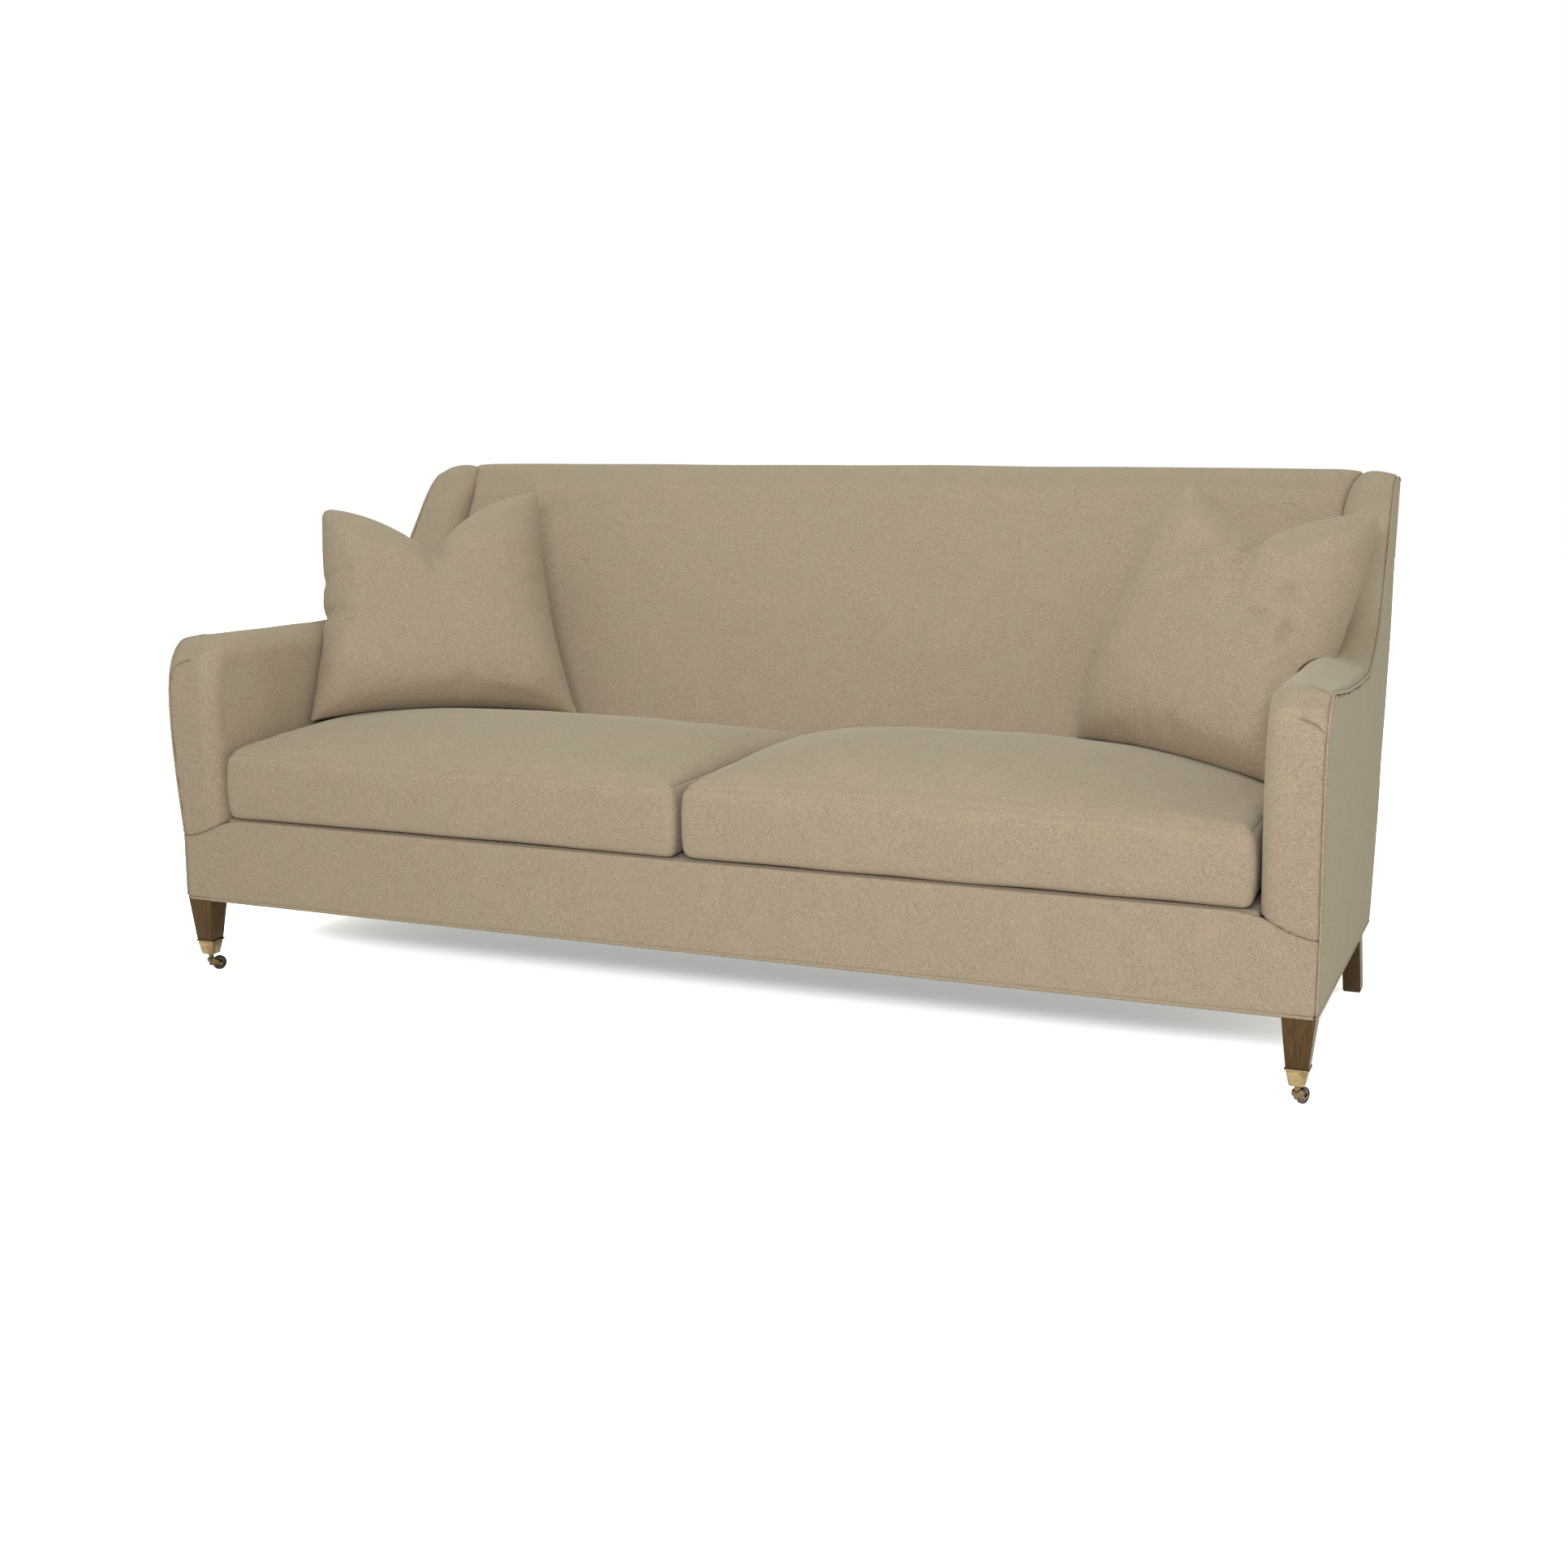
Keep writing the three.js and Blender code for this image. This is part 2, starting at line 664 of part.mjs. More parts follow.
/** The boards of the frame at each side. */
function addSideBoards() {
  const frontBolt = upright(halfWidth - frontLegInsetX + sideToeIn * frontLegInsetY, frontLegInsetY,
    frameBottom - overrun, boltTop + gap, boltDiameter + 2 * gap);
  const armPost = box([armPostInner, armPostFront, frameBottom], [postOuter, armPostBack, armPostTop])
    .subtract(frontBolt);
  pair('arm_post', toedIn(geometryOf(armPost)), hardwoodLook);

  const railFromPost = (z0, z1) => [
    [armPostBack + gap, z0],
    [frameFrontAt(z0) - gap, z0],
    [frameFrontAt(z1) - gap, z1],
    [armPostBack + gap, z1],
  ];
  const sideRail = acrossSofa(railFromPost(frameBottom, railTopHeight), postOuter - sideRailThick, postOuter);
  pair('side_rail', toedIn(geometryOf(sideRail)), hardwoodLook);
  const armRail = acrossSofa(railFromPost(armPostTop - armRailHeight, armPostTop), backPostInner, postOuter);
  pair('arm_rail', toedIn(geometryOf(armRail)), hardwoodLook);

  const rearBoltY = rearLegTopDepth + rearBoltInsetY;
  const rearBolt = upright(rearLegInner + rearBoltInsetX + sideToeIn * rearBoltY, rearBoltY,
    frameBottom - overrun, boltTop + gap, boltDiameter + 2 * gap);
  const backPostOutline = rakedOutline(frameBottom, frameTop, backFrameDepth, 0);
  const backPost = acrossSofa(backPostOutline, backPostInner, postOuter)
    .subtract(rearBolt);
  pair('back_post', toedIn(geometryOf(backPost)), hardwoodLook);

  const boardTop = backHeight + overrun;
  const boardZone = acrossSofa([
    [wingStartDepth, armPostTop + gap],
    [frameFrontAt(armPostTop) - gap, armPostTop + gap],
    [frameFrontAt(boardTop) - gap, boardTop],
    [wingStartDepth, boardTop],
  ], armInner, halfWidth);
  const boardOuter = halfWidth - wingBoardInset;
  const wingBoard = acrossSofa(sideOutline(cavityInset + gap, 0), boardOuter - wingBoardThick, boardOuter)
    .intersect(boardZone);
  pair('wing_board', toedIn(geometryOf(largest(wingBoard))), hardwoodLook);
}

/** The points of one sinuous spring, its straight ends lying in their clips. */
function springPoints(x) {
  const start = armPostFront + railThick / 2;
  const end = frameRearAt(springHeight) - backRailThick / 2;
  const first = start + springEndRun;
  const length = end - springEndRun - first;
  const samples = springHalfWaves * 2;
  const wave = Array.from({ length: samples + 1 }, (_, i) => [
    x + springSwing * Math.sin(Math.PI * i / 2),
    first + length * i / samples,
    springHeight,
  ]);
  return [[x, start, springHeight], ...wave, [x, end, springHeight]];
}

/** The strip on a rail whose clips hold one end of every spring. */
function clipStrip(places, y) {
  const half = springWire / 2;
  const outer = half + gap + clipWall;
  const floorTop = springHeight - half - gap;
  const last = Math.max(...places) + outer;
  let strip = box([-last, y - clipLength / 2, railTopHeight + gap], [last, y + clipLength / 2, floorTop]);
  for (const x of places) {
    strip = strip.add(box([x - outer, y - clipLength / 2, railTopHeight + gap],
      [x + outer, y + clipLength / 2, springHeight + half]));
    strip = strip.subtract(box([x - half - gap, y - clipLength, floorTop],
      [x + half + gap, y + clipLength, springHeight + clipLength]));
  }
  return geometryOf(strip);
}

/** Springs, their clips, the insulator over them, the padded deck, the webbing and the dust cover. */
function addSuspension(legPlugs) {
  const springRunX = (armInner - springSideRoom) / (2 * springPairs - 1);
  const places = Array.from({ length: 2 * springPairs }, (_, i) => springRunX * (2 * (i - springPairs) + 1));
  const runs = places.map(springPoints);
  const [start, ...others] = runs.map((points) => solidOf(sweep(points, springWire, springSides)));
  const reach = springRunX * (2 * springPairs - 1) + springSwing;
  const ends = runs[0].map(([, y]) => y);
  const length = ends[ends.length - 1] - ends[0];
  const half = tieWire / 2;
  let springs = others.reduce((all, one) => all.add(one), start);
  for (const share of tieWireShares) {
    const y = ends[0] + length * share;
    springs = springs.add(box([-reach, y - half, springHeight - half],
      [reach, y + half, springHeight + half]));
  }
  piece('seat_springs', geometryOf(springs), steelLook);
  piece('spring_clip_strip_front', clipStrip(places, ends[0]), steelLook);
  piece('spring_clip_strip_rear', clipStrip(places, ends[ends.length - 1]), steelLook);

  const seatSides = between(armWidth + gap);
  const slab = (z0, z1) => box([-halfWidth, borderThick + gap, z0], [halfWidth, frameFrontAt(z0) - gap, z1])
    .intersect(seatSides);
  piece('spring_insulator', geometryOf(slab(insulatorBottom, insulatorBottom + insulatorThick)), webbingLook);
  piece('seat_deck', geometryOf(slab(deckBottom, deckTop)), fabricLook);

  const betweenBackPosts = between(halfWidth - backPostInner + gap);
  const strip = (z0, z1, x0, x1) => acrossSofa(
    rakedOutline(z0, z1, backFrameDepth, backFrameDepth - webbingThick), x0, x1);
  const webbingFirst = lowerRailTop + webbingFirstRaise;
  const webbingTop = frameTop - webbingTopDrop;
  const webbingPitch = (webbingTop - webbingWidth - webbingFirst) / (webbingStrips - 1);
  const uprightsOf = [-webbingUprightX, webbingUprightX].map((x) => strip(
    lowerRailTop, webbingTop, x - webbingWidth / 2, x + webbingWidth / 2));
  let webbing = uprightsOf[0].add(uprightsOf[1]);
  for (let i = 0; i < webbingStrips; i += 1) {
    const z = webbingFirst + webbingPitch * i;
    webbing = webbing.add(strip(z, z + webbingWidth, -halfWidth, halfWidth));
  }
  piece('back_webbing', geometryOf(webbing.intersect(betweenBackPosts)), webbingLook);

  const dustTop = frameBottom - gap;
  let dustCover = box([-halfWidth, dustCoverInset, dustTop - dustCoverThick],
    [halfWidth, backBottomDepth - dustCoverInset, dustTop]).intersect(between(dustCoverInset));
  for (const plug of legPlugs) dustCover = dustCover.subtract(plug);
  piece('dust_cover', geometryOf(dustCover), clothLook);
}

/** Foam and covers of the arms with their wings, the outside panels and the welts round them. */
function addSides() {
  const zone = rearZone();
  const far = backTopDepth + overrun;
  const border = alongDepth(borderOutline(gap), -overrun, borderThick + gap);
  const under = box([armInner - overrun, borderThick, coverBottom - overrun],
    [halfWidth + overrun, far, railTopHeight + gap]);
  const post = box([armPostInner - gap, armPostFront - gap, frameBottom],
    [postOuter + gap, armPostBack + gap, armPostTop + gap]);
  const within = box([armInner - overrun, -overrun, coverBottom],
    [panelInner - gap, far, backHeight + overrun]);
  const trim = (solid) => largest(solid.intersect(within).subtract(zone).subtract(border).subtract(under));

  const cover = trim(sideForm(0, 0).subtract(sideForm(coverThick, overrun)));
  pair('arm_and_wing_cover', toedIn(geometryOf(cover)), fabricLook);
  const foam = trim(sideForm(foamInset, 0).subtract(sideForm(cavityInset, overrun)).subtract(post));
  pair('arm_and_wing_foam', toedIn(geometryOf(foam)), foamLook);

  const panel = acrossSofa(sideOutline(weltDiameter + gap, 0), panelInner, halfWidth);
  pair('outside_arm_panel', toedIn(geometryOf(panel)), fabricLook);

  const weltLine = shifted(sidePath(), weltRadius).map(([y, z]) => [halfWidth - weltRadius, y, z]);
  pair('arm_welt', toedIn(sweep(weltLine, weltDiameter, weltSides)), fabricLook);
}

/** The cover of the front rail and the welt round the bottom of the base. */
function addBase() {
  piece('front_rail_cover', geometryOf(alongDepth(borderOutline(0), 0, borderThick)), fabricLook);

  const edge = (y) => halfWidth - weltRadius - sideToeIn * y;
  const front = weltRadius;
  const rear = backBottomDepth - weltRadius;
  const round = weltCornerRound;
  const corner = (from, to, shares) => curveBetween(from, to, shares, cornerSteps);
  const frontArc = corner([edge(0) - round, front], [edge(0), front + round], turnInShares);
  const rearArc = corner([edge(rear), rear - round], [edge(rear) - round, rear], turnOutShares);
  const half = [
    [0, front],
    [edge(0) - round, front],
    ...frontArc,
    [edge(rear), rear - round],
    ...rearArc,
    [weltJoinGap / 2, rear],
  ].map(([x, y]) => [x, y, baseBottom]);
  const otherHalf = half.slice(1).reverse().map(([x, y, z]) => [-x, y, z]);
  piece('base_welt', sweep([...otherHalf, ...half], weltDiameter, weltSides), fabricLook);
}

/** Foam and cover of the inside back, and the cover of the outside back. */
function addBack() {
  const zone = rearZone();
  const insideSides = between(armWidth + gap);
  const acrossAll = (outline) => acrossSofa(outline, -halfWidth, halfWidth)
    .intersect(insideSides)
    .subtract(zone);
  const cover = acrossAll(backOutline(0, 0)).subtract(
    acrossSofa(backOutline(coverThick, overrun), -halfWidth - overrun, halfWidth + overrun),
  );
  piece('inside_back_cover', geometryOf(largest(cover)), fabricLook);
  piece('back_foam', geometryOf(largest(acrossAll(backOutline(foamInset, 0)))), foamLook);

  const outline = [
    [rearAt(coverBottom) - backCoverThick, coverBottom],
    [rearAt(coverBottom), coverBottom],
    [rearAt(outsideBackTop), outsideBackTop],
    [rearAt(outsideBackTop) - backCoverThick, outsideBackTop],
  ];
  const outside = acrossSofa(outline, -halfWidth, halfWidth).intersect(between(weltDiameter + gap));
  piece('outside_back_cover', geometryOf(outside), fabricLook);
}

/** Front legs with their cups and casters. */
function addFrontLegs() {
  const x = halfWidth - frontLegInsetX;
  const y = frontLegInsetY;
  const widthAt = (z) => frontLegRingWidth + (frontLegTopWidth - frontLegRingWidth)
    * (z - frontLegRingHeight) / (baseBottom - frontLegRingHeight);
  const innerTop = frontLegRingWidth - 2 * cupWall;
  const innerBottom = cupBottomWidth - 2 * cupWall;
  const cupFloorTop = cupBottom + cupFloor;

  const shaft = squareTaper(x, y, frontLegRingHeight + gap, frontLegRingWidth,
    legShoulderHeight, widthAt(legShoulderHeight));
  const plug = squareTaper(x, y, legShoulderHeight - gap, frontLegTopWidth - 2 * legPlugInset,
    legTop, frontLegTopWidth - 2 * legPlugInset);
  const tenon = squareTaper(x, y, cupFloorTop + gap, innerBottom - 2 * gap,
    frontLegRingHeight + 2 * gap, innerTop - 2 * gap);
  const stemHole = upright(x, y, cupBottom - overrun, stemTop + gap, stemDiameter + 2 * gap);
  const boltHole = upright(x, y, frontBoltBottom - gap, legTop + overrun, boltDiameter + 2 * gap);
  const leg = shaft.add(plug).add(tenon).subtract(stemHole).subtract(boltHole);
  pair('front_leg', geometryOf(leg), walnutLook);

  const cupOuter = squareTaper(x, y, cupBottom, cupBottomWidth, frontLegRingHeight, frontLegRingWidth);
  const ringWidth = frontLegRingWidth + 2 * cupRingOut;
  const ring = squareTaper(x, y, frontLegRingHeight - cupRingHeight, ringWidth,
    frontLegRingHeight, ringWidth);
  const hollow = squareTaper(x, y, cupFloorTop, innerBottom, frontLegRingHeight + gap, innerTop);
  const cup = cupOuter.add(ring).subtract(hollow).subtract(stemHole);
  pair('caster_cup', geometryOf(cup), brassLook);
}

/** One caster: a horn that swivels on its stem, an axle with knob ends, and a wheel. */
function addCaster(side) {
  const sign = side === 'right' ? 1 : -1;
  const pivot = new THREE.Group();
  pivot.position.set(sign * (halfWidth - frontLegInsetX), frontLegInsetY, 0);
  pivot.rotation.z = THREE.MathUtils.degToRad(casterTurnDegrees);
  frameGroup.add(pivot);

  const cheekInner = wheelWidth / 2 + cheekClearance;
  const cheekOuter = cheekInner + cheekThick;
  const crownTop = cupBottom - gap;
  const crownBottom = crownTop - crownThick;
  const cheekTop = bossBottom + (crownBottom - bossBottom) / 2;
  const half = cheekWidth / 2;
  const lowerArc = Array.from({ length: 5 }, (_, i) => {
    const angle = Math.PI * (i / 4) - Math.PI / 2;
    return [casterTrail + Math.cos(angle) * half, axleHeight + Math.sin(angle) * half];
  });
  const cheekOutline = [[0, bossBottom], ...lowerArc, [casterTrail / 2, crownTop], [0, crownTop]];
  const cheek = (x0, x1) => acrossSofa(cheekOutline, x0, x1);
  const bridge = box([-cheekOuter, -bossDiameter / 2, cheekTop], [cheekOuter, 0, crownTop]);
  const wheelRoom = new THREE.CylinderGeometry(wheelDiameter / 2 + cheekClearance,
    wheelDiameter / 2 + cheekClearance, 2 * cheekInner, roundSides);
  wheelRoom.rotateZ(Math.PI / 2);
  wheelRoom.translate(0, casterTrail, axleHeight);
  const axleHole = new THREE.CylinderGeometry(axleDiameter / 2 + gap, axleDiameter / 2 + gap,
    2 * cheekOuter + overrun, roundSides);
  axleHole.rotateZ(Math.PI / 2);
  axleHole.translate(0, casterTrail, axleHeight);
  const horn = upright(0, 0, bossBottom, crownTop, bossDiameter)
    .add(upright(0, 0, crownBottom, crownTop, crownDiameter))
    .add(upright(0, 0, crownBottom, stemTop, stemDiameter))
    .add(cheek(-cheekOuter, -cheekInner))
    .add(cheek(cheekInner, cheekOuter))
    .add(bridge)
    .subtract(solidOf(wheelRoom))
    .subtract(solidOf(axleHole));

  const axleEnd = cheekOuter + gap + knobLength;
  const knobInner = cheekOuter + gap;
  const axleProfile = [
    [0, -axleEnd],
    [knobDiameter / 3, -axleEnd],
    [knobDiameter / 2, -axleEnd + knobLength / 3],
    [knobDiameter / 2, -knobInner],
    [axleDiameter / 2, -knobInner],
    [axleDiameter / 2, knobInner],
    [knobDiameter / 2, knobInner],
    [knobDiameter / 2, axleEnd - knobLength / 3],
    [knobDiameter / 3, axleEnd],
    [0, axleEnd],
  ];
  const turned = (profile, sides) => {
    const geometry = new THREE.LatheGeometry(profile.map(([r, h]) => new THREE.Vector2(r, h)), sides);
    geometry.rotateZ(-Math.PI / 2);
    return bareGeometry(geometry);
  };
  const bore = axleDiameter / 2 + axleClearance;
  const tread = wheelDiameter / 2;
  const shoulder = wheelWidth / 2;
  const wheelProfile = [
    [bore, -shoulder],
    [tread - wheelEdgeRound, -shoulder],
    [tread, -shoulder + wheelEdgeRound],
    [tread, shoulder - wheelEdgeRound],
    [tread - wheelEdgeRound, shoulder],
    [bore, shoulder],
    [bore, -shoulder],
  ];
  const add = (name, geometry, look) => {
    const mesh = new THREE.Mesh(geometry, new THREE.MeshStandardMaterial(look));
    mesh.name = `${name}_${side}`;
    pivot.add(mesh);
    return mesh;
  };
  add('caster_horn', geometryOf(horn), brassLook);
  add('caster_axle', turned(axleProfile, roundSides), brassLook).position.set(0, casterTrail, axleHeight);
  add('caster_wheel', turned(wheelProfile, wheelSides), wheelLook).position.set(0, casterTrail, axleHeight);
}

/** Rear legs, and the bolts that hold all four legs. */
function addRearLegs() {
  const x0 = rearLegInner;
  const x1 = rearLegInner + rearLegWidth;
  const foot = rearLegTopDepth + rearLegSplay;
  const outline = [
    [foot, rearLegChamfer],
    [foot + rearLegChamfer, 0],
    [foot + rearLegDepth - rearLegChamfer, 0],
    [foot + rearLegDepth, rearLegChamfer],
    [rearLegTopDepth + rearLegDepth, legShoulderHeight],
    [rearLegTopDepth, legShoulderHeight],
  ];
  const plug = box([x0 + legPlugInset, rearLegTopDepth + legPlugInset, legShoulderHeight - gap],
    [x1 - legPlugInset, rearLegTopDepth + rearLegDepth - legPlugInset, legTop]);
  const boltX = rearLegInner + rearBoltInsetX;
  const boltY = rearLegTopDepth + rearBoltInsetY;
  const boltHole = upright(boltX, boltY, rearBoltBottom - gap, legTop + overrun, boltDiameter + 2 * gap);
  const leg = acrossSofa(outline, x0, x1).add(plug).subtract(boltHole);
  pair('rear_leg', geometryOf(leg), walnutLook);

  const frontBolt = upright(halfWidth - frontLegInsetX, frontLegInsetY,
    frontBoltBottom, boltTop, boltDiameter);
  const rearBolt = upright(boltX, boltY, rearBoltBottom, boltTop, boltDiameter);
  pair('front_leg_bolt', geometryOf(frontBolt), steelLook);
  pair('rear_leg_bolt', geometryOf(rearBolt), steelLook);
}

/** Room in the dust cover for the legs' plugs: a notch at each front corner, a hole at each rear leg. */
function legPlugHoles() {
  const z0 = frameBottom - overrun;
  const frontHalf = frontLegTopWidth / 2 - legPlugInset + gap;
  const frontX = halfWidth - frontLegInsetX;
  const rearInset = legPlugInset - gap;
  const right = [
    box([frontX - frontHalf, 0, z0], [halfWidth, frontLegInsetY + frontHalf, frameBottom]),
    box([rearLegInner + rearInset, rearLegTopDepth + rearInset, z0],
      [rearLegInner + rearLegWidth - rearInset, rearLegTopDepth + rearLegDepth - rearInset, frameBottom]),
  ];
  return [...right, ...right.map((solid) => solidOf(mirrored(geometryOf(solid))))];
}

/** A crowned box cushion, flat underneath, between two sides; toe slants its outer side. */
function seatCushion(x0, x1, leftToe, rightToe) {
  const halfX = (x1 - x0) / 2;
  const halfY = (cushionRear - cushionFront) / 2;
  const halfZ = cushionEdgeThick / 2;
  const geometry = new THREE.BoxGeometry(2, 2, 2, 14, 11, 4);
  geometry.deleteAttribute('normal');
  geometry.deleteAttribute('uv');
  const merged = mergeVertices(geometry);
  const { position } = merged.attributes;
  const ease = (s) => Math.sin(s * Math.PI / 2);
  const core = new THREE.Vector3(halfX, halfY, halfZ).subScalar(cushionEdgeRound);
  const point = new THREE.Vector3();
  const held = new THREE.Vector3();
  for (let i = 0; i < position.count; i += 1) {
    const s = ease(position.getX(i));
    const t = ease(position.getY(i));
    const h = position.getZ(i);
    point.set(s * halfX, t * halfY, h * halfZ);
    held.copy(point).clamp(core.clone().negate(), core);
    point.sub(held);
    const reach = Math.max(point.length(), Number.EPSILON);
    point.multiplyScalar(Math.min(cushionEdgeRound / reach, 1)).add(held);
    const upper = (h + 1) / 2;
    point.z += cushionCrown * (1 - s ** 4) * (1 - t ** 4) * upper;
    point.x -= cushionDraw * s * (1 - t * t) * Math.abs(s) ** 5;
    point.y -= cushionDraw * t * (1 - s * s) * Math.abs(t) ** 5;
    const toe = s > 0 ? rightToe : leftToe;
    point.x += (x0 + x1) / 2 - toe * Math.abs(s) * (point.y + halfY);
    point.y += (cushionRear + cushionFront) / 2;
    point.z += cushionBottom + halfZ;
    position.setXYZ(i, point.x, point.y, point.z);
  }
  return merged;
}

/** The two seat cushions. */
function addCushions() {
  const outer = armInner - cushionSideClearance;
  const parting = cushionPartingGap / 2;
  const left = seatCushion(-outer, cushionPartingX - parting, -sideToeIn, 0);
  const right = seatCushion(cushionPartingX + parting, outer, 0, sideToeIn);
  piece('seat_cushion_left', bareGeometry(left), fabricLook);
  piece('seat_cushion_right', bareGeometry(right), fabricLook);
}

/** A knife-edge pillow between its four ears, its top edge chopped down in the middle. */
function throwPillow(earShares) {
  const seam = cushionBottom + cushionEdgeThick;
  const corners = earShares.map(([across, back, height]) => new THREE.Vector3(
    across * armInner,
    back * backFootDepth,
    seam + height * (backHeight - seam),
  ));
  const [lowLeft, lowRight, highRight, highLeft] = corners;
  const normal = highRight.clone().sub(lowLeft).cross(highLeft.clone().sub(lowRight)).normalize();
  const down = lowLeft.clone().add(lowRight).sub(highLeft).sub(highRight).normalize();
  const acrossDir = lowRight.clone().add(highRight).sub(lowLeft).sub(highLeft).normalize();
  const cells = pillowCells;
  const positions = [];
  const index = [];
  const at = (s, t, face) => {
    const low = lowLeft.clone().lerp(lowRight, (s + 1) / 2);
    const high = highLeft.clone().lerp(highRight, (s + 1) / 2);
    const p = low.lerp(high, (t + 1) / 2);
    p.addScaledVector(acrossDir, -pillowEdgeDraw * s * (1 - t * t));
    p.addScaledVector(down, pillowEdgeDraw * t * (1 - s * s));
    p.addScaledVector(down, pillowDip * Math.exp(-9 * s * s) * ((1 + t) / 2) ** 4);
    const full = ((1 - s ** 4) * (1 - t ** 4)) ** 0.6;
    return p.addScaledVector(normal, face * full * pillowFullness / 2);
  };
  for (const face of [1, -1]) {
    const first = positions.length / 3;
    for (let j = 0; j <= cells; j += 1) {
      for (let i = 0; i <= cells; i += 1) {
        const p = at(-Math.cos(Math.PI * i / cells), -Math.cos(Math.PI * j / cells), face);
        positions.push(p.x, p.y, p.z);
      }
    }
    for (let j = 0; j < cells; j += 1) {
      for (let i = 0; i < cells; i += 1) {
        const a = first + j * (cells + 1) + i;
        const b = a + 1;
        const c = a + cells + 2;
        const d = a + cells + 1;
        if (face > 0) index.push(a, b, c, a, c, d);
        else index.push(a, c, b, a, d, c);
      }
    }
  }
  const geometry = new THREE.BufferGeometry();
  geometry.setAttribute('position', new THREE.Float32BufferAttribute(positions, 3));
  geometry.setIndex(index);
  return mergeVertices(geometry, weldDistance);
}

/** The two throw pillows, kept clear of what they lean on. */
function addPillows() {
  const sideSolid = solidOf(toedIn(geometryOf(sideForm(-gap, 0))));
  const otherSide = solidOf(mirrored(geometryOf(sideSolid)));
  const back = acrossSofa(backOutline(-gap, 0), -halfWidth, halfWidth);
  const cushions = frameGroup.children.filter((mesh) => mesh.name.startsWith('seat_cushion'));
  for (const [side, earShares] of Object.entries(pillowEarShares)) {
    let pillow = solidOf(throwPillow(earShares)).subtract(sideSolid).subtract(otherSide).subtract(back);
    for (const cushion of cushions) {
      const lifted = cushion.geometry.clone().translate(0, 0, gap);
      pillow = pillow.subtract(solidOf(lifted)).subtract(solidOf(cushion.geometry));
    }
    piece(`throw_pillow_${side}`, geometryOf(largest(pillow)), fabricLook);
  }
}

addCrossBoards();
addSideBoards();
addSuspension(legPlugHoles());
addSides();
addBase();
addBack();
addFrontLegs();
addCaster('left');
addCaster('right');
addRearLegs();
addCushions();
addPillows();

export default sofa;
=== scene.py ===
"""The looks of a two-cushion wing-back sofa on brass casters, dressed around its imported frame.

Metres, +Z up, the sofa's front towards -Y. Profiles are drawn in depth, which runs from the face of
the front rail's cover towards the back, and in height above the floor.
"""

import logging
import math
from collections.abc import Callable, Iterable, Sequence
from dataclasses import dataclass, field
from enum import Enum

import bmesh
import bpy
import numpy as np
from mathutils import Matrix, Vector


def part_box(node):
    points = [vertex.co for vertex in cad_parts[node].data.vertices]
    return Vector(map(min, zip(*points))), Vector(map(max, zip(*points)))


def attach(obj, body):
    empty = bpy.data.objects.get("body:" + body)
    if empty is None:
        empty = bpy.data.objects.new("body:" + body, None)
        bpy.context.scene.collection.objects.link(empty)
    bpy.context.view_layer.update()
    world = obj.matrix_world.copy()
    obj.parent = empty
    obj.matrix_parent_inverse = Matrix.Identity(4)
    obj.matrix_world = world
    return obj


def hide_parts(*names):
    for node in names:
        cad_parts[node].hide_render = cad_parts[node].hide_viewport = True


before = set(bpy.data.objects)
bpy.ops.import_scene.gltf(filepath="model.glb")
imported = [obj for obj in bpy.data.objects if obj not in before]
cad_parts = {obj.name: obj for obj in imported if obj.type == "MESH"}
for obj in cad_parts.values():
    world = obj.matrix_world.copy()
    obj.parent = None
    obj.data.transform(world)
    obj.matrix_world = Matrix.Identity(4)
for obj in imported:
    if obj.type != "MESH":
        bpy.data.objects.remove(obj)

log = logging.getLogger("sofa")

MM = 0.001
FILL_FRAMES = 20

Colour = tuple[float, float, float]
Form = Callable[[np.ndarray, np.ndarray, np.ndarray], np.ndarray]
Controls = tuple[tuple[float, float], tuple[float, float]]


class Side(Enum):
    """A side of the sofa, seen from a person who sits on it, and the sign of its X."""

    LEFT = -1
    RIGHT = 1

    @property
    def word(self) -> str:
        """The side's name, as the frame's nodes and bodies end."""
        return self.name.lower()


# Geometry helpers


def stretch(start: Sequence[float], end: Sequence[float], shares: Controls, steps: int = 18) -> np.ndarray:
    """Points on a curve between two points.

    Args:
        start: The first point, which is left out of the result.
        end: The last point.
        shares: The curve's two controls, as shares of the run from start to end.
        steps: How many points to give.

    Returns:
        An array of points, one a row.
    """
    t = np.linspace(0.0, 1.0, steps + 1)[1:, None]
    a = np.array(start, float)
    b = np.array(end, float)
    c, d = (a + (b - a) * np.array(share) for share in shares)
    return (1 - t) ** 3 * a + 3 * (1 - t) ** 2 * t * c + 3 * (1 - t) * t**2 * d + t**3 * b


def rounded_cut(first: np.ndarray, second: np.ndarray, radius: float | np.ndarray) -> np.ndarray:
    """The distance to what two forms share, with the edge between them rounded.

    Args:
        first: Distances to the first form, negative inside it.
        second: Distances to the second form.
        radius: The edge's radius.

    Returns:
        Distances to the common part.
    """
    inner = np.minimum(np.maximum(first, second), -radius)
    outer = np.hypot(np.maximum(first + radius, 0.0), np.maximum(second + radius, 0.0))
    return inner + outer


def blended_join(first: np.ndarray, second: np.ndarray, radius: float) -> np.ndarray:
    """The distance to two forms joined by a fillet.

    Args:
        first: Distances to the first form, negative inside it.
        second: Distances to the second form.
        radius: The fillet's radius.

    Returns:
        Distances to the joined form.
    """
    return -rounded_cut(-first, -second, radius)


def eased(value: np.ndarray, low: float, high: float) -> np.ndarray:
    """Rises smoothly from 0 at low to 1 at high, or falls if low is above high."""
    share = np.clip((value - low) / (high - low), 0.0, 1.0)
    return share * share * (3 - 2 * share)


